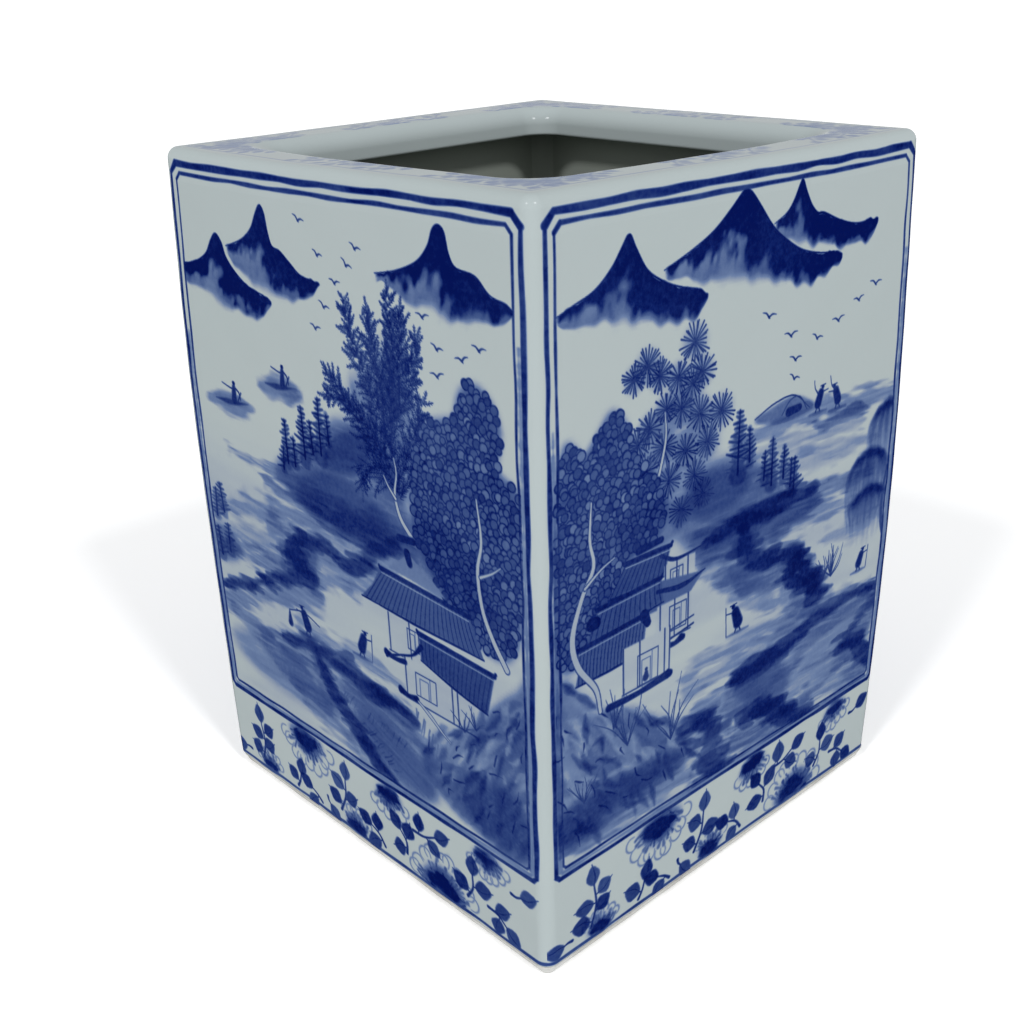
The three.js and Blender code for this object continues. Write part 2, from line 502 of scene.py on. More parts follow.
def walker(panel, foot, height, facing=1, staff=True, load=None):
    """A small figure on foot: a round robed body, a hat, two legs and perhaps a staff or a shoulder pole."""
    foot, height = vec(*foot), 0.84 * height
    hip, neck = foot + vec(0, -0.3) * height, foot + vec(0.14 * facing, -0.66) * height
    for step in (-0.13, 0.12):
        panel.dab(hip, foot + vec(step * height, 0), 0.6, 0.4, 0.85)
    panel.dab(hip, neck, 0.42 * height, 0.34 * height, 0.93, soft=0.35)
    head = neck + vec(0.1 * facing, -0.2) * height
    panel.dab(head, head + vec(0.05, 0), 0.17 * height, 0.15 * height, 0.92, soft=0.1)
    panel.dab(head + vec(-0.14, -0.05) * height, head + vec(0.15, -0.07) * height, 0.3, 0.25, 0.9)
    hand = neck + vec(0.42 * facing, -0.05) * height
    panel.dab(neck, hand, 0.4, 0.25, 0.85)
    if staff:
        panel.dab(hand + vec(0.02 * facing, -0.22) * height, foot + vec(0.52 * facing, 0) * height, 0.26,
            0.24, 0.8)
    if load:
        left, right = neck + vec(-load, 0.12 * load), neck + vec(load, 0.18 * load)
        panel.stroke([left, neck + vec(0, -0.06 * height), right], [0.3, 0.4, 0.3], 0.85)
        panel.dab(left, left + vec(0, 0.45 * height), 0.3, 0.26 * height, 0.85, soft=0.3)
    ground = [foot + vec(-0.5 * height, 0.2), foot + vec(0.5 * height, 0.3)]
    panel.smear(ground, [0.3, 0.9, 0.3], 0.5, 0.5)


def boat(panel, middle, length, pole=1):
    """A low boat on its own pale reflection, with a figure poling it."""
    middle = vec(*middle)
    half = length / 2
    water = [middle + vec(-half, 1.0), middle + vec(half, 0.6)]
    panel.smear(water, [2.0, 6.4, 5.6, 1.6], 0.5, 1.5, 0.9, 0.5, (0.0, 5.0, 1.0))
    hull = [middle + vec(-0.75 * half, 0.5), middle + vec(0, 0.3), middle + vec(0.8 * half, -0.6)]
    panel.stroke(hull, [0.6, 2.0, 1.5, 0.4], 0.8, soft=0.8)
    seat = middle + vec(0.12 * half * pole, -0.4)
    neck = seat + vec(0.3 * pole, -3.6)
    panel.dab(seat, neck, 2.4, 1.3, 0.85, soft=0.35)
    panel.dab(neck + vec(0, -1.0), neck + vec(0.1, -1.0), 1.1, 1.1, 0.92)
    panel.stroke([neck + vec(-4.6 * pole, -0.2), neck + vec(-1 * pole, 0.6), neck], [0.3, 0.4, 0.5], 0.85)
    panel.stroke([neck, neck + vec(1.8 * pole, 1.0), seat + vec(2.6 * pole, -0.6)], [0.6, 0.5, 0.4], 0.85)
    panel.dab(seat + vec(1.4 * pole, 0), seat + vec(3.0 * pole, -2.6), 0.8, 0.4, 0.8, soft=0.2)


def roof(panel, ridge, eave, tiles, tone=0.5):
    """A tiled roof between a ridge and an eave, both given from left to right."""
    cap = 0.9
    ridge_left, ridge_right = (vec(*p) for p in ridge)
    eave_left, eave_right = (vec(*p) for p in eave)
    sag_left = (ridge_left + eave_left) / 2 + 0.12 * (ridge_right - eave_left)[1] * vec(-0.4, -0.7)
    panel.flat([ridge_left, ridge_right, eave_right, eave_left, sag_left], tone + 0.1)
    for share in np.linspace(0.04, 0.97, tiles):
        top = ridge_left + (ridge_right - ridge_left) * share
        low = eave_left + (eave_right - eave_left) * share
        panel.stroke([top, (top + low) / 2 + vec(-0.2, 0.2), low], [0.3, 0.4, 0.34], 0.9)
    panel.stroke([eave_left, (eave_left + eave_right) / 2 + vec(0, 0.3), eave_right], [0.4, 0.75, 0.5], cap)
    panel.stroke([ridge_left, ridge_right], [1.3, 1.2], cap)
    panel.stroke([ridge_left + vec(0.5, 0.05), ridge_right + vec(-0.5, 0.05)], [0.1, 0.1], cap)
    place, _, _, cover = panel.sweep([ridge_left + vec(0.3, 1.0), ridge_right + vec(-0.3, 1.0)], [0.3, 0.3])
    panel.wipe(place, cover * 0.85, 0.1)
    panel.dab(ridge_left + vec(-0.4, -0.5), ridge_left + vec(0.2, 0.2), 0.9, 0.7, cap)
    panel.dab(ridge_right + vec(0.4, -0.6), ridge_right + vec(-0.2, 0.2), 0.9, 0.7, cap)


def box_lines(panel, low, high, width=0.28, tone=0.78):
    """A ruled rectangle, such as a window, between two opposite corners."""
    (x0, y0), (x1, y1) = low, high
    corners = [(x0, y0), (x1, y0), (x1, y1), (x0, y1), (x0, y0)]
    for a, b in zip(corners, corners[1:], strict=False):
        panel.dab(vec(*a), vec(*b), width, width, tone)


def open_room(panel, low, high, posts, window=None, person=None):
    """The bare wall of a pavilion, its posts, and perhaps a window with someone in it."""
    (x0, y0), (x1, y1) = low, high
    panel.flat([(x0, y0), (x1, y0), (x1, y1), (x0, y1)], 0.03)
    for x in posts:
        panel.dab(vec(x, y0), vec(x + 0.1, y1), 0.42, 0.36, 0.82)
    panel.dab(vec(x0, y1), vec(x1, y1), 0.4, 0.4, 0.7)
    if window:
        (wx, wy), (w, h) = window
        box_lines(panel, (wx, wy), (wx + w, wy + h))
        box_lines(panel, (wx + 0.2 * w, wy + 0.2 * h), (wx + 0.62 * w, wy + h), 0.22, 0.6)
        panel.dab(vec(wx + 0.7 * w, wy), vec(wx + 0.7 * w, wy + h), 0.22, 0.22, 0.6)
    if person:
        seat = vec(*person)
        panel.dab(seat, seat + vec(0.1, -1.0), 2.0, 1.2, 0.85, soft=0.2)
        panel.dab(seat + vec(0.1, -1.9), seat + vec(0.15, -1.9), 0.9, 0.9, 0.85)


def terrace(panel, left, right, depth=1.6):
    """The dark edge of the rock or platform that a room stands on, ending in a blunt tip."""
    left, right = vec(*left), vec(*right)
    panel.stroke([left, (left + right) / 2 + vec(0, 0.5), right], [depth, depth * 0.75, depth * 1.2], 0.9,
        soft=0.15)
    panel.dab(right, right + vec(0.6, 0.1), depth * 1.3, depth, 0.95, soft=0.15)


def crag(panel, outline, marks, tone=0.62, slant=-0.9):
    """A rock face: a dense wash with broad pale and dark brush marks down its slope."""
    panel.wash(outline, tone, soft=0.9, angle=slant, streak=0.85, length=11.0, width=2.0)
    for place in scatter(panel, outline, 1.35 * marks):
        along = heading(slant + panel.rng.normal(0, 0.25))
        reach = panel.rng.uniform(4.0, 10.0)
        tip = place + reach * along
        bow = (place + tip) / 2 + panel.wobble(0.7)
        where, x, y, cover = panel.sweep([place, bow, tip], [0.3, 2.0, 0.3], 0.7, 0.3)
        cover = cover * (1 - 0.5 * panel.grain(x, y, slant, 5.0, 0.6))
        if panel.rng.random() < 0.42:
            panel.wipe(where, 0.75 * cover, 0.1)
        else:
            panel.glaze(where, panel.rng.uniform(0.35, 0.85) * cover)
    for place in scatter(panel, outline, 2.2 * marks):
        tip = place + panel.rng.uniform(2.0, 5.0) * heading(slant + panel.rng.normal(0, 0.4))
        panel.stroke([place, (place + tip) / 2 + panel.wobble(0.4), tip], [0.5, 0.6, 0.15], 0.9, 0.2)


def leaf_blade(panel, base, angle, length, width):
    """A plump pointed leaf, blotchy, with a darker midrib."""
    tone = 0.86
    base, along = vec(*base), heading(angle)
    across = vec(-along[1], along[0])
    tip = base + length * along
    belly, side = base + 0.4 * length * along, 0.5 * width * across
    shoulder = base + 0.72 * length * along
    outline = [base, belly - side, shoulder - 0.72 * side, tip, shoulder + 0.72 * side, belly + side]
    panel.wash(outline, tone * panel.rng.uniform(0.75, 1.05), soft=0.2, angle=angle, streak=0.35, pool=0.3,
        width=1.2)
    panel.stroke([base, belly + 0.3 * side, tip + 0.5 * along], [0.35, 0.5, 0.2], min(tone * 1.1, 1), 0.15)


def spray(panel, root, tip, bow=1.0, leaves=5, size=4.0):
    """A stem of pointed leaves, the last at its tip."""
    root, tip = vec(*root), vec(*tip)
    along = tip - root
    across = vec(-along[1], along[0]) / max(np.linalg.norm(along), 0.1)
    middle = (root + tip) / 2 + bow * across
    panel.stroke([root, middle, tip], [0.9, 0.65, 0.45], 0.85, soft=0.15)
    path = curve([root, middle, tip], step=0.5)
    angle = math.atan2(*(tip - middle)[::-1])
    leaf_blade(panel, tip, angle, size, size * 0.75)
    for i in range(leaves - 1):
        place = path[int((i + 0.8) / leaves * (len(path) - 1))]
        side = 1 if i % 2 else -1
        turn = angle + side * panel.rng.uniform(0.9, 1.35)
        start = place + 0.8 * heading(turn)
        panel.dab(place, start, 0.45, 0.4, 0.8)
        leaf_blade(panel, start, turn, size * panel.rng.uniform(0.8, 1.1),
            size * panel.rng.uniform(0.72, 0.9))


def blossom(panel, centre, radius, open_from, open_to):
    """An open flower, drawn between two angles: a dense ragged heart inside small looped petals."""
    centre = vec(*centre)
    spread = open_to - open_from
    middle = heading(open_from + spread / 2)
    fan = [centre + 0.62 * radius * heading(open_from + spread * share) for share in np.linspace(0, 1, 9)]
    panel.wash([centre - 0.1 * radius * middle, *fan], 0.85, soft=1.0, streak=0.5, pool=0.0, length=3.0,
        width=1.5)
    petals = max(int(spread * 3.2), 5)
    for i in range(petals):
        angle = open_from + spread * (i + 0.5) / petals + panel.rng.normal(0, 0.05)
        place = centre + radius * panel.rng.uniform(0.8, 0.92) * heading(angle)
        loop = [place + 0.17 * radius * heading(angle + turn) for turn in np.linspace(-2.2, 2.2, 7)]
        panel.stroke(loop, [0.3, 0.5, 0.3], 0.4, 0.4)
    for reach, tone in ((0.74, 0.55), (0.62, 0.74), (0.46, 0.88)):
        for _ in range(int(9 * spread)):
            angle = panel.rng.uniform(open_from, open_to)
            far = centre + reach * radius * panel.rng.uniform(0.75, 1.1) * heading(angle)
            near = far - 0.3 * reach * radius * heading(angle + panel.rng.normal(0, 0.3))
            panel.dab(near, far, 0.7, panel.rng.uniform(0.5, 1.4), tone * panel.rng.uniform(0.75, 1.05),
                soft=0.45)
    across = 0.3 * radius * vec(-middle[1], middle[0]) * min(spread / 2, 1)
    core = centre + 0.2 * radius * middle
    heart = [core - across, core + 0.06 * radius * middle, core + across]
    panel.smear(heart, [0.3 * radius, 0.45 * radius, 0.3 * radius], 0.88, 0.9, 0.9)


def ruled(panel, points, width, tone):
    """A long line drawn by hand, never quite straight or of one width."""
    path = [vec(*points[0])]
    for a, b in zip(points, points[1:], strict=False):
        a, b = vec(*a), vec(*b)
        count = max(int(np.linalg.norm(b - a) / 7), 1)
        path += [a + (b - a) * i / count + panel.wobble(0.1) for i in range(1, count)] + [b]
    widths = width * panel.rng.uniform(0.75, 1.2, len(path))
    place, x, y, cover = panel.sweep(path, list(widths), 0.12)
    panel.line(place, tone * cover * (1 - 0.25 * panel.grain(x, y, 0.0, 5.0, 2.0)))


def frame_lines(panel, left, top, right, bottom):
    """The double line round a landscape, its corners cut, with a pale wash between the lines in places."""
    gap, top_part = 2.2, 5  # between the lines, and how far down they keep their full width
    for inset, width, tone in ((0.0, 1.5, 1.0), (gap, 0.95, 0.97)):
        x0, y0, x1, y1 = left + inset, top + inset, right - inset, bottom - inset
        n = 2.2 - 0.3 * inset  # the cut across a corner
        low = 0.5 * n
        ring = [(x0 + n, y0), (x1 - n, y0), (x1, y0 + n), (x1, y1 - low)]
        ring += [(x1 - low, y1), (x0 + low, y1), (x0, y1 - low), (x0, y0 + n)]
        for a, b in zip(ring, ring[1:] + ring[:1], strict=True):
            ruled(panel, [a, b], width if max(a[1], b[1]) < top + top_part else 0.75 * width, tone)
    between = gap / 2
    y = bottom - between
    for line, widths, angle in (
        ([(left + between, top + 40), (left + between, bottom - 2)], [0.8, 1.5, 1.6], math.pi / 2),
        ([(right - between, top + 24), (right - between, bottom - 2)], [0.8, 1.5, 1.6], math.pi / 2),
        ([(left + 2, y), (right - 2, y)], [1.2, 1.5, 1.5], 0.0),
    ):
        panel.smear(line, widths, 0.42, 0.5, 0.3, 0.5, (angle, 8.0, 1.0))


# ---------------------------------------------------------------------------------------------------
# The compositions, in millimetres on a wall 125 wide and 170 high.

FRAME = (3.4, 3.4, 122.3, 143.8)  # left, top, right and bottom of a landscape's outer line


def paint_pavilion_landscape(panel):
    """Lake and pavilion: peaks, boats, a feathery tree and a round-leaved one over a two-storey pavilion.
    It returns how far its left part goes right and its lower part up when the wall is finished."""
    # Far peaks, the nearest last
    peak(
        panel,
        [(20.8, 21.4), (27.6, 18.9), (31.8, 15.9), (34.2, 12.3), (36.2, 10.0), (37.7, 11.6), (38.6, 15.7),
            (40, 19), (43, 19.8), (46.4, 21.9),
         (51, 24.5), (58, 25)],
        [(20.8, 23), (27, 28.2), (35, 30.8), (43, 31.4), (50, 30.2), (55.5, 28.6), (58, 27)],
    )
    peak(
        panel,
        [(0.9, 28.8), (7.2, 27.6), (12.3, 24.8), (15, 20.9), (17, 19), (19, 20.8), (20.4, 24.2),
            (23.6, 27.3), (28.2, 29.9), (34, 31.2), (38, 31.5)],
        [(0.9, 32.2), (9, 34.6), (17, 36.9), (25, 37.8), (32, 37.4), (38, 34.6)],
    )
    peak(
        panel,
        [(78, 20.3), (85, 18.9), (91.8, 16.3), (95.6, 12.8), (97.4, 9.1), (99, 8.1), (100.6, 9.2),
            (101.8, 13.4), (103.8, 15.9), (109.2, 16.8),
         (113.4, 20), (119.4, 21)],
        [(78, 21.6), (88.4, 25), (97.5, 26.6), (106.6, 27.2), (113.4, 26.4), (119.4, 24)],
    )
    flight = [(51, 12), (57.5, 19), (68, 20), (71.5, 16), (63.5, 24.5), (58.8, 30.5), (55, 36)]
    flight += [(93, 27.5), (97, 33.5), (104.5, 34.5), (109.5, 31.5), (96.8, 39.3)]
    flock(panel, flight, 3.9, 0.12, 0.2)

    # Boats on the lake
    boat(panel, (38.5, 52.8), 17, pole=1)
    boat(panel, (17.2, 61.4), 16.5, pole=1)

    # The far shore with its spruces
    panel.wash([(33, 76), (42, 68), (52, 64), (59, 57), (70, 56), (80, 62), (84, 78), (66, 82), (48, 82)],
        0.52, soft=1.4, streak=0.6)
    panel.wash([(54, 68), (59, 61), (66, 58), (73, 60), (70, 66), (61, 69)], 0.6, soft=0.9, streak=0.4)
    panel.wash([(42, 76), (52, 71), (64, 71), (78, 76), (80, 83), (60, 84), (46, 81)], 0.5, soft=1.2,
        streak=0.5)
    mist(panel, [(14, 75.5), (30, 76), (46, 78), (62, 80), (84, 82)], [2, 4, 6, 7, 6], 0.5)
    mist(panel, [(28, 80), (45, 81.5), (60, 83), (78, 82)], [2, 4, 5, 3], 0.55)
    for place, height in (((39, 72), 11), ((42, 72), 7), ((46.5, 69), 13), ((50, 67), 8), ((53.4, 66.5), 14),
            ((36.8, 74), 6), ((57, 63), 7)):
        spruce(panel, place, height)
    hatch(panel, (40, 73), (58, 66), 14, (2.2, 1.2), 0.6)

    # The winding shore in the middle
    mist(panel, [(30, 86), (48, 84), (66, 80), (78, 76)], [4, 6, 7, 6], 0.4)
    mist(panel, [(10, 91), (24, 88), (36, 90)], [3, 6, 4], 0.35)
    mist(panel, [(28, 91), (44, 89), (60, 88), (72, 84)], [3, 6, 6, 4], 0.3)
    mist(panel, [(6, 98), (20, 97), (34, 96), (48, 99), (60, 97)], [4, 7, 8, 6, 3], 0.3)
    bank(panel, [(80, 81), (73, 84.5), (66, 90), (60, 92), (49, 90), (40, 92)], [3, 4, 4.5, 3, 4, 5], 0.75)
    bank(panel, [(42, 91), (36, 95), (40, 99), (44, 101), (34, 104), (23, 108), (14, 112), (5, 116)],
        [5, 6, 5, 4, 3.5, 3.5, 3, 3], 0.85, 0.45)
    mist(panel, [(8, 104), (20, 103), (32, 100)], [4, 6, 5], 0.45)
    for place in ((5.6, 96), (8.5, 94), (5.6, 107), (9, 105)):
        spruce(panel, place, 8, 0.75)
    panel.wash([(3, 101), (9, 99), (14, 102), (10, 107), (3, 108)], 0.45, soft=1.0, streak=0.4)

    # The near shore and the path along it
    mist(panel, [(36, 115), (52, 116), (68, 115), (80, 118)], [3, 5, 5, 3], 0.34)
    mist(panel, [(20, 123), (36, 120), (54, 121), (80, 124)], [4, 6, 6, 5], 0.42)
    panel.wash([(5, 130), (18, 124), (34, 123), (46, 127), (52, 134), (36, 138), (16, 137)], 0.36, soft=1.5,
        streak=0.7)
    bank(panel, [(28, 121.5), (42, 119.5), (56, 121), (70, 122.5), (82, 123.5)], [2, 4, 4.5, 4.5, 3], 0.7)
    bank(panel, [(43, 120), (47, 127), (52, 132), (60, 138), (66, 142), (72, 144)], [3, 5, 4.5, 5, 5, 3],
        0.8, 0.3)
    panel.wash([(52, 126), (66, 124), (80, 126), (90, 134), (84, 143), (66, 138)], 0.35, soft=1.4,
        streak=0.7, angle=0.3)
    hatch(panel, (54, 127), (78, 131), 20, (-2.2, 3.4), 0.6)
    hatch(panel, (60, 134), (72, 141), 12, (3.6, -2.4), 0.6)
    mist(panel, [(30, 133), (44, 138), (56, 141)], [5, 6, 4], 0.34)
    mist(panel, [(8, 122), (20, 126), (34, 131), (46, 134)], [5, 8, 8, 5], 0.4)
    panel.wash([(58, 131), (72, 129), (84, 134), (88, 142), (76, 144), (64, 141)], 0.5, soft=1.6, streak=0.7,
        angle=0.3)

    # Trees behind the pavilion
    feather_tree(
        panel,
        [
            [(83, 70), (80, 58), (81, 46), (82, 34), (82, 24)],
            [(80, 58), (74, 47), (69, 38), (66.5, 28.5)],
            [(79, 64), (71, 57), (65, 50), (58.5, 45.5)],
            [(82, 52), (86, 44), (89, 38), (91, 32.5)],
            [(80, 66), (74, 64), (70, 66), (69, 71)],
            [(84, 62), (88, 56), (90, 50), (92, 46)],
            [(81, 50), (77, 42), (75, 34), (74.5, 29)],
            [(82, 44), (85, 37), (85.5, 31), (86, 27)],
            [(78, 60), (70, 53), (62, 50), (57, 51)],
        ],
        [(66, 49), (70, 43), (76, 40), (81, 34), (86, 42), (89, 52), (88, 64), (83, 70), (76, 68), (70, 58)],
    )
    ring_crown(
        panel,
        [(92, 50), (97, 48), (101, 46.5), (103, 41), (107.6, 38.5), (112.5, 41), (115, 47), (114, 55),
            (119, 58), (120, 66), (119.5, 84),
         (117, 94), (112, 97), (104, 95), (98, 90), (88, 80), (86, 68), (88, 58)],
    )
    panel.wash([(80, 78), (90, 72), (104, 76), (110, 88), (98, 90), (84, 86)], 0.45, soft=1.5, streak=0.4)
    panel.reserve([(107, 63), (108, 72), (106.6, 79), (107.6, 87), (110.5, 93), (114.5, 98.5)],
        [0.5, 0.9, 1.2, 1.3, 1.5, 1.7])
    panel.reserve([(107.4, 80), (111, 78), (113.5, 76)], [0.9, 0.7, 0.4])
    panel.reserve([(81, 60.5), (81.6, 64), (80.6, 69), (82, 74), (85.4, 77.6)], [0.4, 0.7, 1.0, 1.3, 1.4])
    panel.reserve([(80.8, 70), (78.4, 67.6), (77, 65.5)], [0.9, 0.6, 0.4])

    # The pavilion
    panel.flat([(76, 87.5), (84, 82), (92, 86), (96, 88.8)], 0.35)
    panel.dab((81, 79), (86, 78.6), 2.2, 2.0, 0.93, soft=0.3)
    panel.dab((83.5, 82), (84.2, 84.2), 2.6, 2.2, 0.95, soft=0.3)
    open_room(panel, (74.4, 99), (88, 108.5), [74.8, 82.4], ((81.6, 100.6), (4, 5)))
    roof(panel, ((73.2, 88.6), (103.4, 90.4)), ((65, 98), (107.5, 98.8)), 25)
    open_room(panel, (79.5, 108), (104, 118.5), [80, 96.4, 98.2], ((83.6, 110.8), (7.2, 5.6)))
    roof(panel, ((85.6, 100.4), (110.6, 101.4)), ((86, 107), (108, 111.4)), 17, tone=0.62)
    panel.stroke([(73, 110.5), (78.5, 108.4), (83, 106.8), (86.4, 103.6)], [0.9, 0.5, 0.6, 1.6], 0.9)
    terrace(panel, (80, 109.6), (73, 109.6), 1.5)
    terrace(panel, (83.5, 117.6), (77.6, 117.4), 1.7)

    # Rocks on the right
    crag(panel, [(84, 133), (90, 124), (100, 118), (109, 110), (117, 103), (121, 101), (121, 142),
        (104, 143), (92, 140)], 3.1)
    panel.wash([(96, 133), (106, 128), (118, 130), (120, 141), (104, 142)], 0.6, soft=1.4, streak=0.4,
        angle=-0.8)
    panel.reserve([(84, 118), (88, 120), (92, 122.5), (95, 124)], [0.6, 1.2, 0.8, 0.4], edge=0.15)
    hatch(panel, (83, 120), (92, 127), 9, (-2, 7), 0.5, 0.5)
    for place in ((100, 119), (104, 117)):
        tuft(panel, place, 5, 6)

    walker(panel, (40.2, 117), 9.5, facing=-1, staff=False, load=6.5)
    walker(panel, (63, 114.5), 9.0, facing=1)
    return 4.4, 4.0


def paint_village_landscape(panel):
    """Lake and village: peaks, a pine and a round-leaved tree over stacked houses, a bridge and a willow."""
    peak(
        panel,
        [(69.5, 14.6), (73.6, 12.8), (76, 10.4), (78.2, 6.8), (79, 6.4), (80.3, 9), (82.4, 12.4),
            (84.6, 14.3), (87, 14.6), (94, 17.4), (101, 18.9),
         (108.4, 18.1)],
        [(69.5, 16.3), (77, 19.7), (86, 22.2), (95, 24.2), (103, 24.2), (108.4, 21)],
    )
    peak(
        panel,
        [(35, 19.1), (43, 16.4), (49.8, 13.4), (55.4, 9.4), (59.2, 6.4), (61.4, 6.8), (64.5, 10),
            (68.5, 14.5), (72.5, 17.7), (79.3, 21.6), (87.3, 23.6),
         (94.7, 24)],
        [(35, 20.6), (43, 22.9), (54, 25.2), (66, 27.2), (77, 29.4), (86, 30), (94.7, 27)],
    )
    peak(
        panel,
        [(5.4, 23.1), (10, 21.6), (15.7, 19.7), (20.2, 16.3), (23.1, 12.8), (25.1, 10.6), (26.8, 13.4),
            (29.9, 18), (34, 20.8), (39.5, 23.1),
         (48.4, 25.2)],
        [(5.4, 24.8), (14.5, 26.4), (26, 28.6), (36, 30.4), (43, 31.4), (48.4, 28.6)],
    )
    flight = [(68.6, 35), (76.6, 40.8), (78.6, 46.8), (78.4, 51.2), (86.4, 43.4), (94.4, 40.8),
        (102.2, 37.4), (108.8, 34.8)]
    flock(panel, flight, 4.3, 0.05, 0.15)

    # The far shore: a boat-shaped bridge, two walkers and small spruces
    mist(panel, [(58, 61), (72, 61.5), (90, 62), (108, 63), (119, 64)], [2, 4, 5, 5, 3], 0.42)
    mist(panel, [(66, 66), (84, 67), (106, 68)], [3, 5, 4], 0.3)
    mist(panel, [(88, 64.5), (98, 65), (107, 65.2)], [2, 4, 3], 0.62)
    mist(panel, [(62, 71), (86, 72), (112, 74)], [4, 6, 4], 0.26)
    panel.wash([(65, 58), (70, 56.6), (78, 55.4), (84, 57.4), (86, 60), (74, 60.6)], 0.5, soft=0.4,
        streak=0.3)
    panel.stroke([(65, 57.6), (72, 55.4), (79, 55.2), (85, 59.6)], [0.3, 0.4, 0.4, 0.3], 0.85)
    panel.stroke([(74.5, 59), (77.5, 56), (81, 56), (84, 59.8)], [0.4, 0.4, 0.4, 0.4], 0.8)
    panel.dab((77, 58.8), (81, 58.6), 2.6, 2.2, 0.9, soft=0.3)
    walker(panel, (88.2, 61.5), 8, facing=1, staff=False)
    walker(panel, (96, 62.4), 8, facing=-1, staff=False)
    panel.stroke([(86.4, 53.6), (86.8, 55.6), (88.6, 57.6)], [0.25, 0.3, 0.6], 0.8)
    panel.stroke([(92.6, 53.8), (93.4, 56.4), (95.4, 58)], [0.25, 0.3, 0.6], 0.8)

    # Dark slope below the pine
    panel.wash([(40, 72), (46, 66), (56, 64), (66, 68), (76, 76), (84, 80), (70, 84), (52, 84), (42, 80)],
        0.55, soft=1.4, streak=0.55)
    panel.wash([(44, 68), (54, 66), (64, 71), (58, 76), (46, 75)], 0.45, soft=1.0, streak=0.4)
    mist(panel, [(46, 80), (62, 81), (78, 81.5), (92, 82.5), (112, 83)], [4, 6, 5, 4, 2], 0.5)
    mist(panel, [(74, 87), (90, 88), (106, 90)], [3, 5, 3], 0.34)
    for place, height in (((59.5, 69), 15), ((63.6, 67), 8), ((71.8, 75), 11.5), ((76.2, 74.6), 8),
            ((79, 77.4), 7), ((80.4, 79.4), 9), ((69, 73), 7)):
        spruce(panel, place, height)

    # The winding shore
    mist(panel, [(46, 84), (60, 86), (74, 86), (90, 84)], [5, 8, 8, 5], 0.5)
    mist(panel, [(56, 92), (68, 97), (82, 101), (90, 104)], [6, 8, 7, 5], 0.4)
    bank(panel, [(50, 82), (60, 81), (72, 80.5), (88, 81)], [3, 4.5, 5, 3.5], 0.75)
    bank(panel, [(62, 83), (64, 90), (70, 93), (78, 95), (84, 97), (81, 101), (85, 105), (92, 107)],
        [4, 6, 5, 4.5, 5.5, 4, 4.5, 4], 0.8, 0.35)
    bank(panel, [(84, 97), (88, 103), (93, 107), (90, 110.5), (96, 110)], [4, 5, 5, 4, 3], 0.85, 0.3)
    mist(panel, [(50, 88), (58, 94), (66, 100), (76, 106)], [5, 7, 7, 5], 0.3)
    mist(panel, [(96, 96), (106, 97), (117, 96)], [3, 5, 4], 0.24)
    mist(panel, [(44, 112), (58, 112), (74, 112), (92, 114)], [3, 5, 6, 5], 0.34)
    mist(panel, [(44, 118), (62, 117), (84, 116), (110, 115)], [4, 6, 6, 4], 0.3)

    # Willow at the right edge
    willow(panel, (119, 66.5), 15, 24, 0.9)
    willow(panel, (111.5, 78), 16, 26)
    willow(panel, (112.5, 88), 16, 17, 0.85)
    panel.stroke([(119.6, 84), (118.6, 92), (119.2, 99), (121, 104)], [1.0, 1.2, 1.4, 1.6], 0.7, soft=0.2)
    tuft(panel, (98.6, 107.4), 8.5, 12, 1.0)
    tuft(panel, (95.4, 106.6), 6, 6, 0.8)

    # Near shore
    mist(panel, [(50, 124), (64, 128), (80, 132), (98, 134), (116, 130)], [8, 9, 9, 8, 7], 0.4)
    mist(panel, [(60, 139), (76, 141), (92, 140)], [6, 7, 6], 0.4)
    bank(panel, [(63, 121), (72, 120), (82, 120), (94, 117), (106, 116), (119, 117)],
        [6, 6, 4.5, 4, 3.5, 3.5], 0.75, 0.4)
    panel.wash([(63, 118), (76, 121), (84, 130), (78, 136), (68, 130), (62, 124)], 0.45, soft=1.2, streak=0.6)
    panel.wash([(86, 122), (104, 119), (120, 120), (120, 128), (104, 131), (90, 130)], 0.34, soft=1.5,
        streak=0.75)
    bank(panel, [(64, 133), (74, 134), (80, 138), (88, 142), (94, 143)], [4, 6, 6, 5, 4], 0.8, 0.4)
    bank(panel, [(105, 131), (112, 130.5), (116, 135), (120, 138)], [3, 5, 6, 6], 0.75, 0.35)
    bank(panel, [(108, 128), (114, 124), (120, 121)], [3, 2.4, 3], 0.5, 0.2)
    mist(panel, [(92, 138), (104, 140), (119, 141)], [5, 6, 5], 0.4)
    bank(panel, [(44, 126), (52, 128), (55, 133), (53, 139), (57, 143)], [4, 6, 6, 7, 6], 0.78, 0.3)
    hatch(panel, (66, 124), (80, 127), 12, (4, 1.6), 0.55)

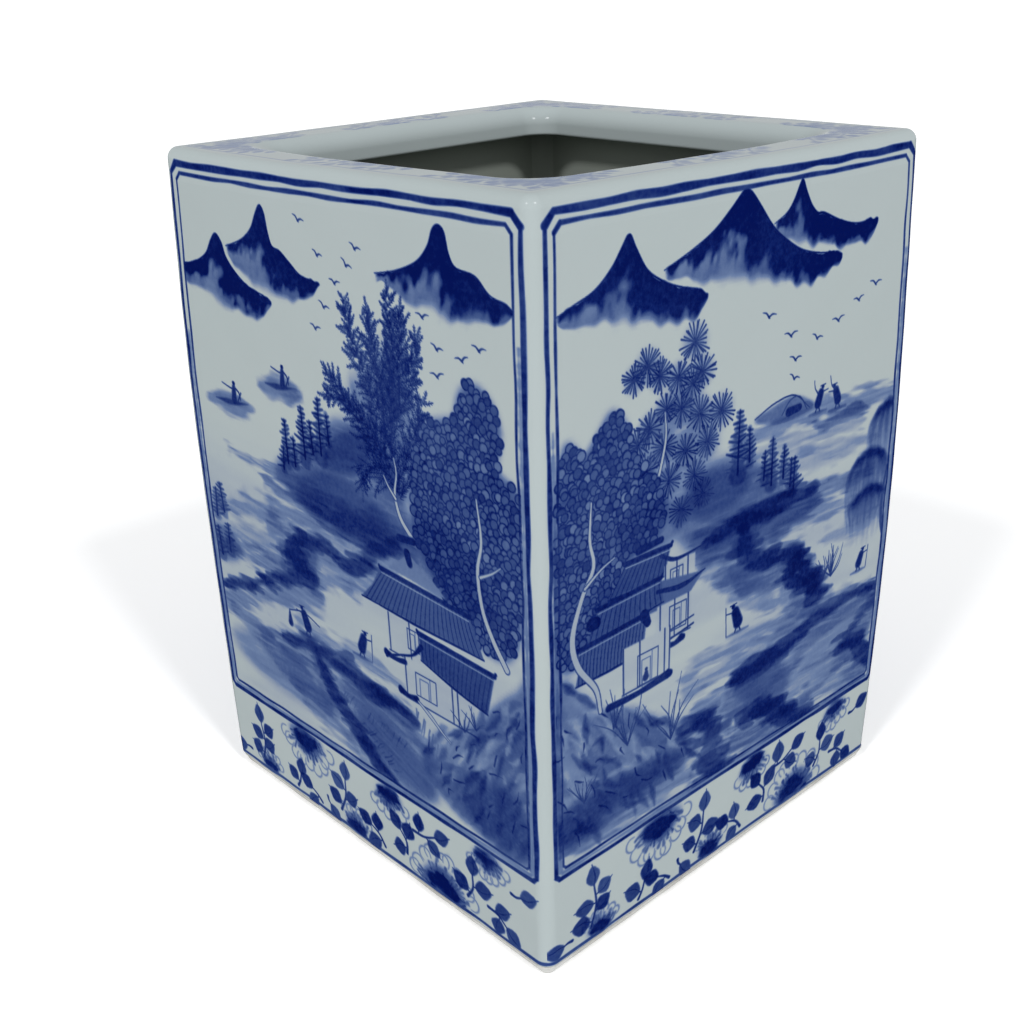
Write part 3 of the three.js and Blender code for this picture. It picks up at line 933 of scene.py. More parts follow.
    # Pine and round-leaved tree
    panel.wash([(29, 54), (36, 46), (44, 44), (48, 52), (52, 58), (50, 66), (42, 74), (32, 72), (27, 62)],
        0.36, soft=2.0, streak=0.6, pool=0)
    bursts = [(44.6, 35.6, 4.6), (30.4, 37.8, 4.4), (26.6, 39.6, 3.6), (34, 40.5, 3.8), (39.6, 42, 4),
        (47, 42.4, 4.2), (44, 44.4, 4)]
    bursts += [(53.4, 52.6, 4.6), (46.6, 51.6, 4.6), (40.6, 49, 4), (36, 48, 3.8), (31, 51, 4),
        (27.6, 53.6, 4), (35.4, 56, 4.2)]
    bursts += [(49, 58.4, 4.2), (42, 58.6, 4.2), (30, 60, 4), (37, 64, 4.2), (45, 65, 4), (33, 69, 4),
        (41, 71.6, 3.8), (48, 70, 3.6)]
    for x, y, radius in bursts:
        needle_burst(panel, (x, y), radius)
    panel.reserve([(35.6, 48.6), (36, 54), (34.6, 60), (33, 64.6)], [0.4, 0.7, 0.9, 1.0])
    ring_crown(
        panel,
        [(6.5, 50), (9, 48.4), (12.4, 51.6), (15.6, 48.8), (19.6, 44.6), (22.6, 46), (25.2, 50), (27.4, 56),
            (33, 62), (36, 70), (33.6, 76),
         (27, 77), (22, 82), (19, 92), (10, 97), (5, 93), (4.4, 70)],
        leaf=1.05,
    )
    panel.wash([(22, 70), (34, 68), (42, 72), (38, 78), (26, 80)], 0.4, soft=1.2, streak=0.3)

    # Houses, the farthest first
    panel.dab((28, 77), (35, 76.6), 2.0, 1.8, 0.92, soft=0.2)
    roof(panel, ((24, 78.6), (38, 78.8)), ((19, 85), (36, 85.4)), 11, tone=0.58)
    open_room(panel, (36, 83), (46, 90), [36.4, 40, 43.6], ((38, 84.6), (4, 4)))
    panel.stroke([(35, 80.4), (40, 82.6), (49.4, 82)], [1.2, 0.8, 0.4], 0.85)
    panel.flat([(19, 86.6), (34, 86), (49, 88.4), (44, 92.6), (17, 93)], 0.5)
    roof(panel, ((16, 86), (35, 85.4)), ((13, 92.6), (36, 91.4)), 14, tone=0.55)
    panel.stroke([(34, 88.4), (42, 89.6), (49.4, 88.2)], [1.2, 1.5, 0.4], 0.88)
    open_room(panel, (34, 92), (45, 101), [35, 39.6, 44], ((38, 93.4), (5.4, 6)))
    panel.stroke([(37, 101.4), (46, 100.2)], [0.5, 0.5], 0.85)
    panel.stroke([(37, 99.2), (46, 98.2)], [0.4, 0.4], 0.8)
    terrace(panel, (37.6, 102.6), (42, 102.2), 1.6)
    panel.dab((14.6, 88.6), (15.6, 88.8), 3.6, 3.2, 0.95, soft=0.2)
    roof(panel, ((10.6, 93.2), (31, 92.4)), ((9.8, 101.2), (29.8, 100.8)), 19, tone=0.5)
    panel.stroke([(30, 92.4), (31.2, 94.6)], [3.0, 2.0], 0.94)
    open_room(panel, (23.6, 98), (38.4, 109), [23.8, 28.8, 36.6, 38.2], ((28.2, 101.4), (6.4, 7.4)),
        (30.8, 107.4))
    terrace(panel, (19.4, 110.2), (38, 109.6), 1.9)

    # Bank under the houses
    crag(panel, [(5, 100), (12, 104), (18, 110), (26, 113), (33, 118), (42, 124), (45, 132), (30, 136),
        (5, 138)], 3.2, tone=0.55, slant=0.9)
    panel.wash([(5, 130), (20, 129), (36, 130), (46, 134), (40, 137), (20, 137), (5, 138)], 0.72, soft=1.2,
        streak=0.4)
    mist(panel, [(5, 139), (24, 140), (46, 140)], [3, 5, 4], 0.42)
    panel.reserve([(14.4, 62), (14, 70), (15, 76), (11.6, 82), (9, 90), (10.6, 97), (15.6, 104), (17, 110)],
        [0.5, 0.9, 1.3, 1.5, 1.9, 1.8, 1.5, 1.1])
    panel.reserve([(12.6, 80), (17, 77.4), (21, 76)], [0.9, 0.7, 0.4])
    for place, height in (((25.4, 122), 14), ((21, 116), 9), ((39.6, 127), 15), ((12, 130), 8)):
        tuft(panel, place, height, 9, 0.7)

    walker(panel, (62, 108.4), 9.5, facing=-1)
    walker(panel, (110.6, 110), 7.5, facing=1)
    return 0.0, 2.6


def paint_band(panel):
    """The border below a landscape: leaf sprays and half-open flowers between two lines."""
    panel.limits = (0, FRAME[3] + 0.6, panel.width, panel.height)
    top, floor = FRAME[3] + 0.9, 166.0
    flowers = (
        (37, top, 11.5, 0.15, math.pi - 0.15),
        (90, floor, 12.5, -math.pi + 0.1, -0.1),
        (56, floor, 8.0, -2.5, -0.5),
        (71, top, 9.0, 0.4, 2.5),
        (106, top, 8.0, 0.3, 2.6),
        (17, floor, 7.0, -2.7, -0.4),
    )
    for x, y, radius, first, last in flowers:
        blossom(panel, (x, y), radius, first, last)
    stems = (
        ((14, 163), (15, 151.5), 1.2, 5),
        ((8, 163), (5.5, 163), 0.2, 1),
        ((30, 164.5), (32, 160), 0.4, 2),
        ((41, 164.5), (37, 162), 0.3, 2),
        ((50, 162), (53, 151.5), 1.0, 4),
        ((44, 161), (45, 163), 0.3, 1),
        ((68, 164), (63, 160), 0.8, 3),
        ((77, 161), (75, 155), 1.2, 3),
        ((80, 152.5), (88, 150.5), 0.8, 3),
        ((99, 161), (101, 154), 1.0, 3),
        ((106, 160), (112, 162.5), -0.8, 3),
        ((114, 151.5), (117, 151), 0.4, 1),
    )
    for root, tip, bow, leaves in stems:
        spray(panel, root, tip, bow, leaves, 5.6)
    panel.limits = (0, 0, panel.width, panel.height)
    ruled(panel, [(0, 165.9), (panel.width, 165.9)], 0.9, 0.82)


def paint_wall(width, height, seed, landscape, mirrored=False):
    """The ink on one wall: a landscape in its frame, with the band of leaves below."""
    panel = Panel(width, height, seed)
    left, top, right, bottom = FRAME
    panel.limits = (left + 0.8, top + 2.3, right - 2.3, bottom + 0.6)
    rightwards, upwards = landscape(panel)
    place, x, y = panel.window(*panel.limits)
    panel.glaze(place, 0.1 * smoothstep((y[:, None] - 60) / 30) * panel.grain(x, y, 0.0, 24.0, 5.0))
    panel.stretch(lambda x: rightwards * x / 28 * np.exp(1 - x / 28), 1)
    panel.stretch(lambda y: -upwards * np.sin(np.pi * np.clip((y - 3) / 185, 0, 1)), 0)
    paint_band(panel)
    panel.limits = (0, 0, width, height)
    frame_lines(panel, *FRAME)
    return panel.ink[:, ::-1] if mirrored else panel.ink


def paint_rim(size, seed):
    """The pale scroll on top of the rim: leaf sprays and small flowers inside a thin line."""
    panel = Panel(size, size, seed)
    line = 4.3
    far = size - line
    ruled(panel, [(line + 1, line), (far - 1, line), (far, line + 1), (far, far - 1), (far - 1, far),
        (line + 1, far),
                  (line, far - 1), (line, line + 1), (line + 1, line)], 0.5, 0.8)
    middle = size / 2
    for c, s in QUARTERS:

        def at(x, y, c=c, s=s):  # bound now, as the loop goes on
            """A place on the side that this turn paints, x from its middle and y from the edge."""
            x, y = x, y - middle
            return vec(middle + c * x - s * y, middle + s * x + c * y)

        for x, bow in ((-52, 1.2), (-44, -1.0), (-34, 1.0), (-12, 0.8), (2, -0.8), (12, 0.9), (36, 0.9),
                (44, 1.0), (50, -0.9)):
            spray(panel, at(x - 4, 13), at(x + 4, 7), bow, 6, 3.4)
        for x in (-48, -38, -3, 40, 49):
            blossom(panel, at(x, 10.4), 4.0, 0, TAU)
    panel.ink = 0.3 * soften(panel.ink, 0.15)
    return panel.ink


# ---------------------------------------------------------------------------------------------------
# Skins. A skin is a grid of squares, merged into larger squares wherever the ink on it is even.

COARSEST = 4  # a leaf is at most 2 ** COARSEST cells wide
EVEN = 0.035  # ink steps smaller than this aren't worth a finer cell


def block_steps(level, rows, cols):
    """The size of a block at a level, and how many fit each way."""
    size = 2**level
    return size, rows // size, cols // size


def merge_cells(ink, coarsest):
    """The level of the leaf that each cell is in. ink has one more row and column than there are cells,
    and coarsest holds the highest level that each cell may have."""
    rows, cols = coarsest.shape
    levels = np.zeros((rows, cols), np.int8)
    whole = np.ones((rows, cols), bool)
    for level in range(1, COARSEST + 1):
        size, down, across = block_steps(level, rows, cols)
        half = size // 2
        a, b = ink[:-1:size, :-1:size], ink[:-1:size, size::size]
        c, d = ink[size::size, :-1:size], ink[size::size, size::size]
        top, bottom = ink[:-1:size, half::size], ink[size::size, half::size]
        left, right = ink[half::size, :-1:size], ink[half::size, size::size]
        centre = ink[half::size, half::size]
        steps = np.abs(centre - (a + b + c + d) / 4)
        for middle, ends in ((top, a + b), (bottom, c + d), (left, a + c), (right, b + d)):
            steps = np.maximum(steps, np.abs(middle - ends / 2))
        parts = whole.reshape(down, 2, across, 2).all(axis=(1, 3))
        allowed = coarsest.reshape(down, size, across, size).min(axis=(1, 3)) >= level
        whole = parts & allowed & (steps < EVEN)
        cells = np.repeat(np.repeat(whole, size, axis=0), size, axis=1)
        levels[cells] = level
    return levels


def neighbours(levels, wrap):
    """The level of each cell's neighbour above, below, left and right."""
    found = []
    for axis, shift in ((0, 1), (0, -1), (1, 1), (1, -1)):
        moved = np.roll(levels, shift, axis)
        if not wrap:
            edge = [slice(None), slice(None)]
            edge[axis] = 0 if shift == 1 else -1
            moved[tuple(edge)] = COARSEST
        found.append(moved)
    return found


def split_uneven(levels, wrap):
    """Splits leaves until none has a neighbour more than one level finer."""
    rows, cols = levels.shape
    changed = True
    while changed:
        changed = False
        for level in range(COARSEST, 1, -1):
            size, down, across = block_steps(level, rows, cols)
            shape = (down, size, across, size)
            above, below, left, right = (n.reshape(shape) for n in neighbours(levels, wrap))
            finest = np.minimum(above[:, 0].min(axis=2), below[:, -1].min(axis=2))
            finest = np.minimum(finest, left[:, :, :, 0].min(axis=1))
            finest = np.minimum(finest, right[:, :, :, -1].min(axis=1))
            uneven = (levels[::size, ::size] == level) & (finest < level - 1)
            if uneven.any():
                levels[np.repeat(np.repeat(uneven, size, axis=0), size, axis=1)] = level - 1
                changed = True
    return levels


def leaf_faces(levels, wrap):
    """The leaves as lists of grid points: (n, corners, 2) arrays of row and column, grouped by shape."""
    above, below, left, right = neighbours(levels, wrap)
    groups = []
    for level in range(COARSEST + 1):
        size = 2**level
        i, j = np.nonzero(levels[::size, ::size] == level)
        i, j = i * size, j * size
        last_row, last_col, half = i + size - 1, j + size - 1, size // 2
        # Walking round a leaf: left side down, bottom, right side up, top
        finer = np.stack(
            [
                left[i, j] < level,
                below[last_row, j] < level,
                right[last_row, last_col] < level,
                above[i, last_col] < level,
            ]
        )
        if level:  # a side's two halves may differ, and either being finer puts a point at its middle
            finer |= np.stack(
                [
                    left[i + half, j] < level,
                    below[last_row, j + half] < level,
                    right[i, last_col] < level,
                    above[i, j] < level,
                ]
            )
        corners = [(i, j), (i + size, j), (i + size, j + size), (i, j + size)]
        middles = [(i + half, j), (i + size, j + half), (i + half, j + size), (i, j + half)]
        for mask in range(16):
            sides = np.array([bool(mask >> side & 1) for side in range(4)])
            chosen = (finer == sides[:, None]).all(axis=0)
            if chosen.any():
                ring = []
                for side in range(4):
                    ring.append(np.stack([c[chosen] for c in corners[side]], axis=-1))
                    if sides[side]:
                        ring.append(np.stack([m[chosen] for m in middles[side]], axis=-1))
                groups.append(np.stack(ring, axis=1))
    return groups


def fired(points):
    """Where firing left the points of the true shape: the pot swells a little at mid-height, and the rim
    stands up a little at its front right corner."""
    x, y, z = points.T
    swell = 1 + SWELL / HALF * np.sin(np.pi * np.clip(z / HEIGHT, 0, 1))
    rise = RISE * smoothstep(z / HEIGHT) * smoothstep((x - y) / SIDE * 1.2 - 0.2)
    return np.stack([x * swell, y * swell, z + rise], axis=-1)


def quads(numbers, chart_low, chart_high):
    """The squares between a grid's point numbers, with their map places between two corners of the chart."""
    rows, cols = numbers.shape[0] - 1, numbers.shape[1] - 1
    r, c = (k.ravel() for k in np.meshgrid(np.arange(rows), np.arange(cols), indexing="ij"))
    ring = [(0, 0), (1, 0), (1, 1), (0, 1)]
    faces = np.stack([numbers[r + a, c + b] for a, b in ring], axis=1)
    u = np.stack([(c + b) / cols for _, b in ring], axis=1)
    v = np.stack([(r + a) / rows for a, _ in ring], axis=1)
    low, high = np.array(chart_low), np.array(chart_high)
    return faces, low + np.stack([u, v], axis=-1) * (high - low)


class Body:
    """A mesh being put together: points, faces with a map place for each corner, and shading normals."""

    def __init__(self):
        self.points, self.normals, self.inks = [], [], []
        self.count = 0
        self.faces, self.maps, self.smooth = [], [], []

    def add_points(self, points, normals=None, ink=0.0):
        """Adds points and returns their numbers. Without normals, their faces decide the shading."""
        first = self.count
        self.points.append(np.asarray(points, float).reshape(-1, 3))
        n = len(self.points[-1])
        self.normals.append(np.zeros((n, 3)) if normals is None else np.asarray(normals, float).reshape(-1,
            3))
        self.inks.append(np.broadcast_to(np.asarray(ink, np.float32), (n,)))
        self.count += n
        return np.arange(first, first + n)

    def add_faces(self, faces, maps, smooth=True):
        """faces is (n, corners) of point numbers, and maps is (n, corners, 2)."""
        self.faces.append(np.asarray(faces))
        self.maps.append(np.asarray(maps, np.float32))
        self.smooth.append(smooth)

    def skin(self, levels, wrap, place, ink, chart):
        """Adds a skin. place gives points and normals for grid rows and columns, and chart their map places.
        Returns the point number at each grid point, or -1 where none is used."""
        rows, cols = levels.shape
        groups = leaf_faces(levels, wrap)
        used = np.zeros((rows + 1, cols + 1), bool)
        for group in groups:
            r, c = group[..., 0], group[..., 1]
            used[(r % rows, c % cols) if wrap else (r, c)] = True
        numbers = np.full(used.shape, -1)
        r, c = np.nonzero(used)
        points, normals = place(r, c)
        numbers[r, c] = self.add_points(points, normals, ink[r, c])
        for group in groups:
            r, c = group[..., 0], group[..., 1]
            self.add_faces(numbers[(r % rows, c % cols) if wrap else (r, c)], chart(r, c))
        return numbers

    def grid(self, points, chart_low, chart_high, flip=False, ink=0.0):
        """Adds an open grid of points, (rows, cols, 3), with its map between two corners of the chart."""
        numbers = self.add_points(points, ink=ink).reshape(points.shape[:2])
        faces, maps = quads(numbers, chart_low, chart_high)
        if flip:
            faces, maps = faces[:, ::-1], maps[:, ::-1]
        self.add_faces(faces, maps)
        return numbers

    def tube(self, points, normals=None):
        """Adds a closed tube: points is (around, along, 3), and its two ends are closed flat."""
        numbers = self.add_points(points, normals).reshape(points.shape[:2])
        numbers = np.vstack([numbers, numbers[:1]])
        width, margin = 0.8, 0.02  # of the chart, the rest of which is for the ends
        self.add_faces(*quads(numbers, (0, 0), (width, 1)))
        self.cap(numbers[:-1, -1], (width + margin, 0.0), (1.0, 0.1))
        self.cap(numbers[-2::-1, 0], (width + margin, 0.2), (1.0, 0.3))

    def cap(self, numbers, chart_low, chart_high):
        """Closes the body with one flat face round the given points, mapped into part of the chart."""
        numbers = np.asarray(numbers)
        points = np.vstack(self.points)[numbers]
        spread = np.ptp(points, axis=0)
        axes = np.argsort(spread)[::-1][:2]
        flat = (points[:, axes] - points[:, axes].min(axis=0)) / np.maximum(spread[axes], 1e-6)
        low, high = np.array(chart_low), np.array(chart_high)
        self.add_faces(numbers[None], (low + flat * (high - low))[None], smooth=False)

    def volume(self, points):
        """The volume inside the faces, below zero when they look inwards."""
        total = 0.0
        for faces in self.faces:
            for k in range(1, faces.shape[1] - 1):
                a, b, c = points[faces[:, 0]], points[faces[:, k]], points[faces[:, k + 1]]
                total += np.einsum("ij,ij->", a, np.cross(b, c)) / 6
        return total

    def build(self, name, turns=0):
        """Makes the Blender object, turned by quarter turns about Z."""
        points, normals = np.vstack(self.points), np.vstack(self.normals)
        c, s = QUARTERS[turns]
        spin = np.array([[c, -s, 0], [s, c, 0], [0, 0, 1]], float)
        points, normals = fired(points @ spin.T), normals @ spin.T
        if self.volume(points) < 0:
            self.faces = [f[:, ::-1] for f in self.faces]
            self.maps = [m[:, ::-1] for m in self.maps]
        loops = np.concatenate([f.ravel() for f in self.faces])
        sizes = np.concatenate([np.full(len(f), f.shape[1]) for f in self.faces])
        starts = np.concatenate([[0], np.cumsum(sizes)[:-1]])
        maps = np.concatenate([m.reshape(-1, 2) for m in self.maps])
        smooth = np.concatenate([np.full(len(f), s) for f, s in zip(self.faces, self.smooth, strict=True)])
        mesh = bpy.data.meshes.new(name)
        mesh.vertices.add(len(points))
        mesh.vertices.foreach_set("co", (points * MM).ravel())
        mesh.loops.add(len(loops))
        mesh.loops.foreach_set("vertex_index", loops)
        mesh.polygons.add(len(sizes))
        mesh.polygons.foreach_set("loop_start", starts)
        mesh.polygons.foreach_set("use_smooth", smooth)
        mesh.update(calc_edges=True)
        mesh.uv_layers.new(name="OFBake").data.foreach_set("uv", maps.ravel())
        ink = mesh.attributes.new("ink", "FLOAT", "POINT")
        ink.data.foreach_set("value", np.concatenate(self.inks))
        # Corners of smooth faces take the surface's own normal, so that neighbouring pieces shade alike
        face_of = np.repeat(np.arange(len(sizes)), sizes)
        flat = np.empty(len(sizes) * 3, np.float32)
        mesh.polygons.foreach_get("normal", flat)
        flat = flat.reshape(-1, 3)
        areas = np.empty(len(sizes), np.float32)
        mesh.polygons.foreach_get("area", areas)
        blended = np.zeros_like(points)
        weighted = flat[face_of] * (areas * smooth)[face_of][:, None]
        for axis in range(3):
            blended[:, axis] = np.bincount(loops, weighted[:, axis], len(points))
        blended /= np.maximum(np.linalg.norm(blended, axis=1, keepdims=True), 1e-12)
        given = np.linalg.norm(normals, axis=1) > 0.5
        corner_normals = np.where(given[:, None], normals, blended)[loops]
        corner_normals[~smooth[face_of]] = flat[face_of[~smooth[face_of]]]
        mesh.normals_split_custom_set(corner_normals.astype(np.float32))
        made = bpy.data.objects.new(name, mesh)
        bpy.context.scene.collection.objects.link(made)
        return made


# ---------------------------------------------------------------------------------------------------
# The pot's surfaces, in millimetres. The front side is made, and the others are it turned.


def unevenness(x, y, z):
    """How far a hand-made skin stands proud of true, in millimetres."""
    waves = 0.09 * np.sin(x / 11.0 + 0.7) * np.sin(z / 17.0 + 1.1)
    waves = waves + 0.08 * np.sin(y / 13.0 - 0.4) * np.cos(z / 23.0)
    ripples = 0.035 * np.sin(x / 4.1 + z / 6.3) * np.cos(y / 4.7 - z / 5.2)
    return waves + ripples


def round_square(s, half, radius):
    """Points and outward directions on the front quarter of a rounded square. s runs from -REACH to REACH
    along the outside face, whatever the size of the square, so that rows of points line up."""
    s, half, radius = np.broadcast_arrays(s, half, radius)
    beyond = np.clip((np.abs(s) - STRAIGHT) / CORNER, 0, None)
    along = np.clip(s / STRAIGHT, -1, 1) * (half - radius)
    x = along + np.sign(s) * radius * np.sin(beyond)
    y = -(half - radius) - radius * np.cos(beyond)
    return x, y, np.sign(s) * np.sin(beyond), -np.cos(beyond)


def numeric_normals(place, a, b, step_a, step_b):
    """Unit normals of a surface that place(a, b) gives the points of."""
    da = place(a + step_a, b) - place(a - step_a, b)
    db = place(a, b + step_b) - place(a, b - step_b)
    normal = np.cross(da, db)
    return normal / np.maximum(np.linalg.norm(normal, axis=-1, keepdims=True), 1e-12)


def sample(raster, x, y):
    """A raster's value at places in millimetres, between its points."""
    rows, cols = raster.shape
    fx, fy = np.clip(x * RES - 0.5, 0, cols - 1.001), np.clip(y * RES - 0.5, 0, rows - 1.001)
    i, j = fx.astype(int), fy.astype(int)
    tx, ty = fx - i, fy - j
    upper = raster[j, i] * (1 - tx) + raster[j, i + 1] * tx
    lower = raster[j + 1, i] * (1 - tx) + raster[j + 1, i + 1] * tx
    return upper * (1 - ty) + lower * ty


def wall_point(s, z, turns):
    """The outer skin of a wall that has been turned by quarter turns, in its own front position."""
    x, y, nx, ny = round_square(s, HALF, CORNER)
    c, d = QUARTERS[turns]
    out = unevenness(x * c - y * d, x * d + y * c, z) - SUNK
    return np.stack([x + nx * out, y + ny * out, np.broadcast_to(z, x.shape)], axis=-1)


WALL_COLUMNS, WALL_ROWS = 608, 784  # finest cells of a wall, multiples of the coarsest leaf


def wall_body(ink, turns):
    """A wall slab: a painted skin, mitred ends and a plain inside face."""
    height = RIM_BOTTOM - FOOT_TOP

    def to_surface(rows, cols):
        return (cols / WALL_COLUMNS * 2 - 1) * REACH, RIM_BOTTOM - rows / WALL_ROWS * height

    def place(rows, cols):
        s, z = to_surface(rows, cols)
        points = wall_point(s, z, turns)
        normals = numeric_normals(lambda a, b: wall_point(a, b, turns), s, z, 0.05, 0.5)
        return points, normals

    rows, cols = np.meshgrid(np.arange(WALL_ROWS + 1), np.arange(WALL_COLUMNS + 1), indexing="ij")
    s, z = to_surface(rows, cols)
    values = sample(ink, s + HALF, HEIGHT - z)
    middle = np.abs((np.arange(WALL_COLUMNS) + 0.5) / WALL_COLUMNS * 2 - 1) * REACH
    coarsest = np.full((WALL_ROWS, WALL_COLUMNS), COARSEST, np.int8)
    coarsest[:, middle > STRAIGHT - 2] = 1
    coarsest[:2] = coarsest[-2:] = 1
    levels = split_uneven(merge_cells(values, coarsest), wrap=False)

    body = Body()
    share = 0.78  # of the chart's width, for the skin

    def chart(r, c):
        return np.stack([c / WALL_COLUMNS * share, 1 - r / WALL_ROWS], axis=-1)

    skin = body.skin(levels, False, place, values, chart)

    # Inside face, a little uneven too, from the top down
    across, down = 17, 21
    x = np.linspace(-INNER, INNER, across)[None, :]
    z = np.linspace(RIM_BOTTOM, FOOT_TOP, down)[:, None]
    bulge = 0.25 * np.sin(x / 9.0 + turns) * np.sin(z / 14.0) * (1 - (x / INNER) ** 2)
    bulge = bulge * np.sin(np.pi * (z - FOOT_TOP) / height)
    inside_points = np.stack([x + 0 * z, -INNER + bulge, z + 0 * x], axis=-1)
    # Its ink of -1 gives the inside face the darker inside glaze, which is painted shade
    inner = body.grid(inside_points, (0.84, 0.4), (1.0, 0.96), flip=True, ink=-1.0)

    def edge(line):
        return line[line >= 0]

    body.cap(np.concatenate([edge(skin[:, -1]), inner[::-1, -1]]), (0.84, 0.0), (0.9, 0.36))
    body.cap(np.concatenate([edge(skin[:, 0])[::-1], inner[:, 0]]), (0.92, 0.0), (0.98, 0.36))
    body.cap(np.concatenate([edge(skin[0]), inner[0, ::-1]]), (0.8, 0.0), (0.81, 0.96))
    body.cap(np.concatenate([edge(skin[-1])[::-1], inner[-1]]), (0.82, 0.0), (0.83, 0.96))
    return body


def rim_section():
    """The rim's section in pieces, from the outer face's foot over the top and the lip, down the opening and
    back under: each has its length and a function from 0..1 to inset, z and corner radius."""
    top, under = HEIGHT, RIM_BOTTOM
    quarter = LIP * math.pi / 2
    inset = RIM_WIDTH

    def side(t):
        return 0 * t, under + (top - LIP - under) * t, CORNER + 0 * t

    def shoulder(t):
        a = t * math.pi / 2
        d = LIP * (1 - np.cos(a))
        return d, top - LIP + LIP * np.sin(a), CORNER - d

    def flat(t):
        d = LIP + (inset - LIP - MOUTH_LIP) * t
        return d, top + 0 * t, (CORNER - LIP) + (MOUTH_CORNER + MOUTH_LIP - CORNER + LIP) * t

    def lip(t):
        a = t * math.pi / 2
        d = inset - MOUTH_LIP + MOUTH_LIP * np.sin(a)
        return d, top - MOUTH_LIP + MOUTH_LIP * np.cos(a), MOUTH_CORNER + inset - d

    def throat(t):
        z = top - MOUTH_LIP + (under + UNDER_LIP - top + MOUTH_LIP) * t
        return inset + 0 * t, z, MOUTH_CORNER + 0 * t

    def under_lip(t):
        a = t * math.pi / 2
        d = inset - UNDER_LIP + UNDER_LIP * np.cos(a)
        return d, under + UNDER_LIP - UNDER_LIP * np.sin(a), MOUTH_CORNER + inset - d

    def underside(t):
        d = (inset - UNDER_LIP) * (1 - t)
        return d, under + 0 * t, (MOUTH_CORNER + UNDER_LIP) * (1 - t) + CORNER * t

    return [
        (top - LIP - under, side),
        (quarter, shoulder),
        (inset - LIP - MOUTH_LIP, flat),
        (MOUTH_LIP * math.pi / 2, lip),
        (top - MOUTH_LIP - UNDER_LIP - under, throat),
        (UNDER_LIP * math.pi / 2, under_lip),
        (inset - UNDER_LIP, underside),
    ]


RIM_ROWS = 224  # finest cells round the rim's section


def rim_point(s, p, section, ends):
    """A point of the rim: s along the ring, a quarter per side, and p along the section."""
    turns = np.floor((s + REACH) / (2 * REACH)).astype(int)
    s = s - turns * 2 * REACH
    turns = turns % 4
    p = np.mod(p, ends[-1])
    inset, z, radius = np.zeros(p.shape), np.zeros(p.shape), np.zeros(p.shape)
    start = 0.0
    for (length, shape), end in zip(section, ends, strict=True):
        here = (p >= start) & (p <= end)
        inset[here], z[here], radius[here] = shape((p[here] - start) / length)
        start = end
    x, y, nx, ny = round_square(s, HALF - inset, radius)
    cos, sin = np.array(QUARTERS).T[:, turns]
    x, y, nx, ny = x * cos - y * sin, x * sin + y * cos, nx * cos - ny * sin, nx * sin + ny * cos
    outer = smoothstep(1 - inset / 4.0)
    inner = smoothstep((inset - RIM_WIDTH + 3.5) / 3.5)
    out = outer * (unevenness(x, y, z) - SUNK) - inner * (0.35 * unevenness(y * 1.3, x * 1.3, z) + 0.1)
    lift = smoothstep((z - RIM_BOTTOM) / (HEIGHT - RIM_BOTTOM)) * (1.1 * unevenness(x * 0.8, y * 0.8,
        31.0) - 0.18)
    askew = SKEW * inner * smoothstep(-y / HALF * 2 - 0.5) * smoothstep(0.5 - x / HALF)
    return np.stack([x + nx * out, y + ny * out + askew, z + lift], axis=-1)


def rim_body(wall_inks, top_ink):
    """The rim: one ring of skin that closes on itself both ways."""
    columns = 4 * WALL_COLUMNS
    section = rim_section()
    ends = np.cumsum([length for length, _ in section])

    def to_surface(rows, cols):
        return (cols / WALL_COLUMNS * 2 - 1) * REACH, rows / RIM_ROWS * ends[-1]

    def place(rows, cols):
        s, p = to_surface(rows, cols)
        points = rim_point(s, p, section, ends)
        step = 0.04
        across = rim_point(s + step, p, section, ends) - rim_point(s - step, p, section, ends)
        before = np.maximum(p - step, 0)  # the section turns sharply at its start, so don't look past it
        along = rim_point(s, p + step, section, ends) - rim_point(s, before, section, ends)
        normals = np.cross(across, along)
        return points, normals / np.linalg.norm(normals, axis=1, keepdims=True)

    rows, cols = np.meshgrid(np.arange(RIM_ROWS + 1), np.arange(columns + 1), indexing="ij")
    s, p = to_surface(rows, cols)
    points = rim_point(s, p, section, ends)
    turns = (np.floor((s + REACH) / (2 * REACH)).astype(int)) % 4
    own = s - np.floor((s + REACH) / (2 * REACH)) * 2 * REACH
    values = sample(top_ink, points[..., 0] + HALF, HALF - points[..., 1])
    values = np.where(p <= ends[2] + 1.0, values, 0)
    low = p <= ends[0] + 0.35 * LIP  # the side of the rim carries the top of each wall's painting
    for turn, ink in enumerate(wall_inks):
        here = low & (turns == turn)
        values[here] = sample(ink, own[here] + HALF, HEIGHT - points[..., 2][here])
    values[:, -1], values[-1] = values[:, 0], values[0]

    depth = (np.arange(RIM_ROWS) + 0.5) / RIM_ROWS * ends[-1]
    coarsest = np.full((RIM_ROWS, columns), 3, np.int8)
    for first, last in ((0, 1), (2, 3), (4, 5)):
        coarsest[(depth > ends[first] - 1) & (depth < ends[last] + 1)] = 1
    middle = np.abs(((np.arange(columns) + 0.5) / WALL_COLUMNS * 2) % 2 - 1) * REACH
    coarsest[:, middle > STRAIGHT - 2] = 1
    levels = split_uneven(merge_cells(values, coarsest), wrap=True)

    def chart(r, c):
        side = np.minimum(c.min(axis=-1, keepdims=True) // WALL_COLUMNS, 3)
        return np.stack([(c - side * WALL_COLUMNS) / WALL_COLUMNS, (side + r / RIM_ROWS) / 4], axis=-1)

    body = Body()
    body.skin(levels, True, place, values, chart)
    return body


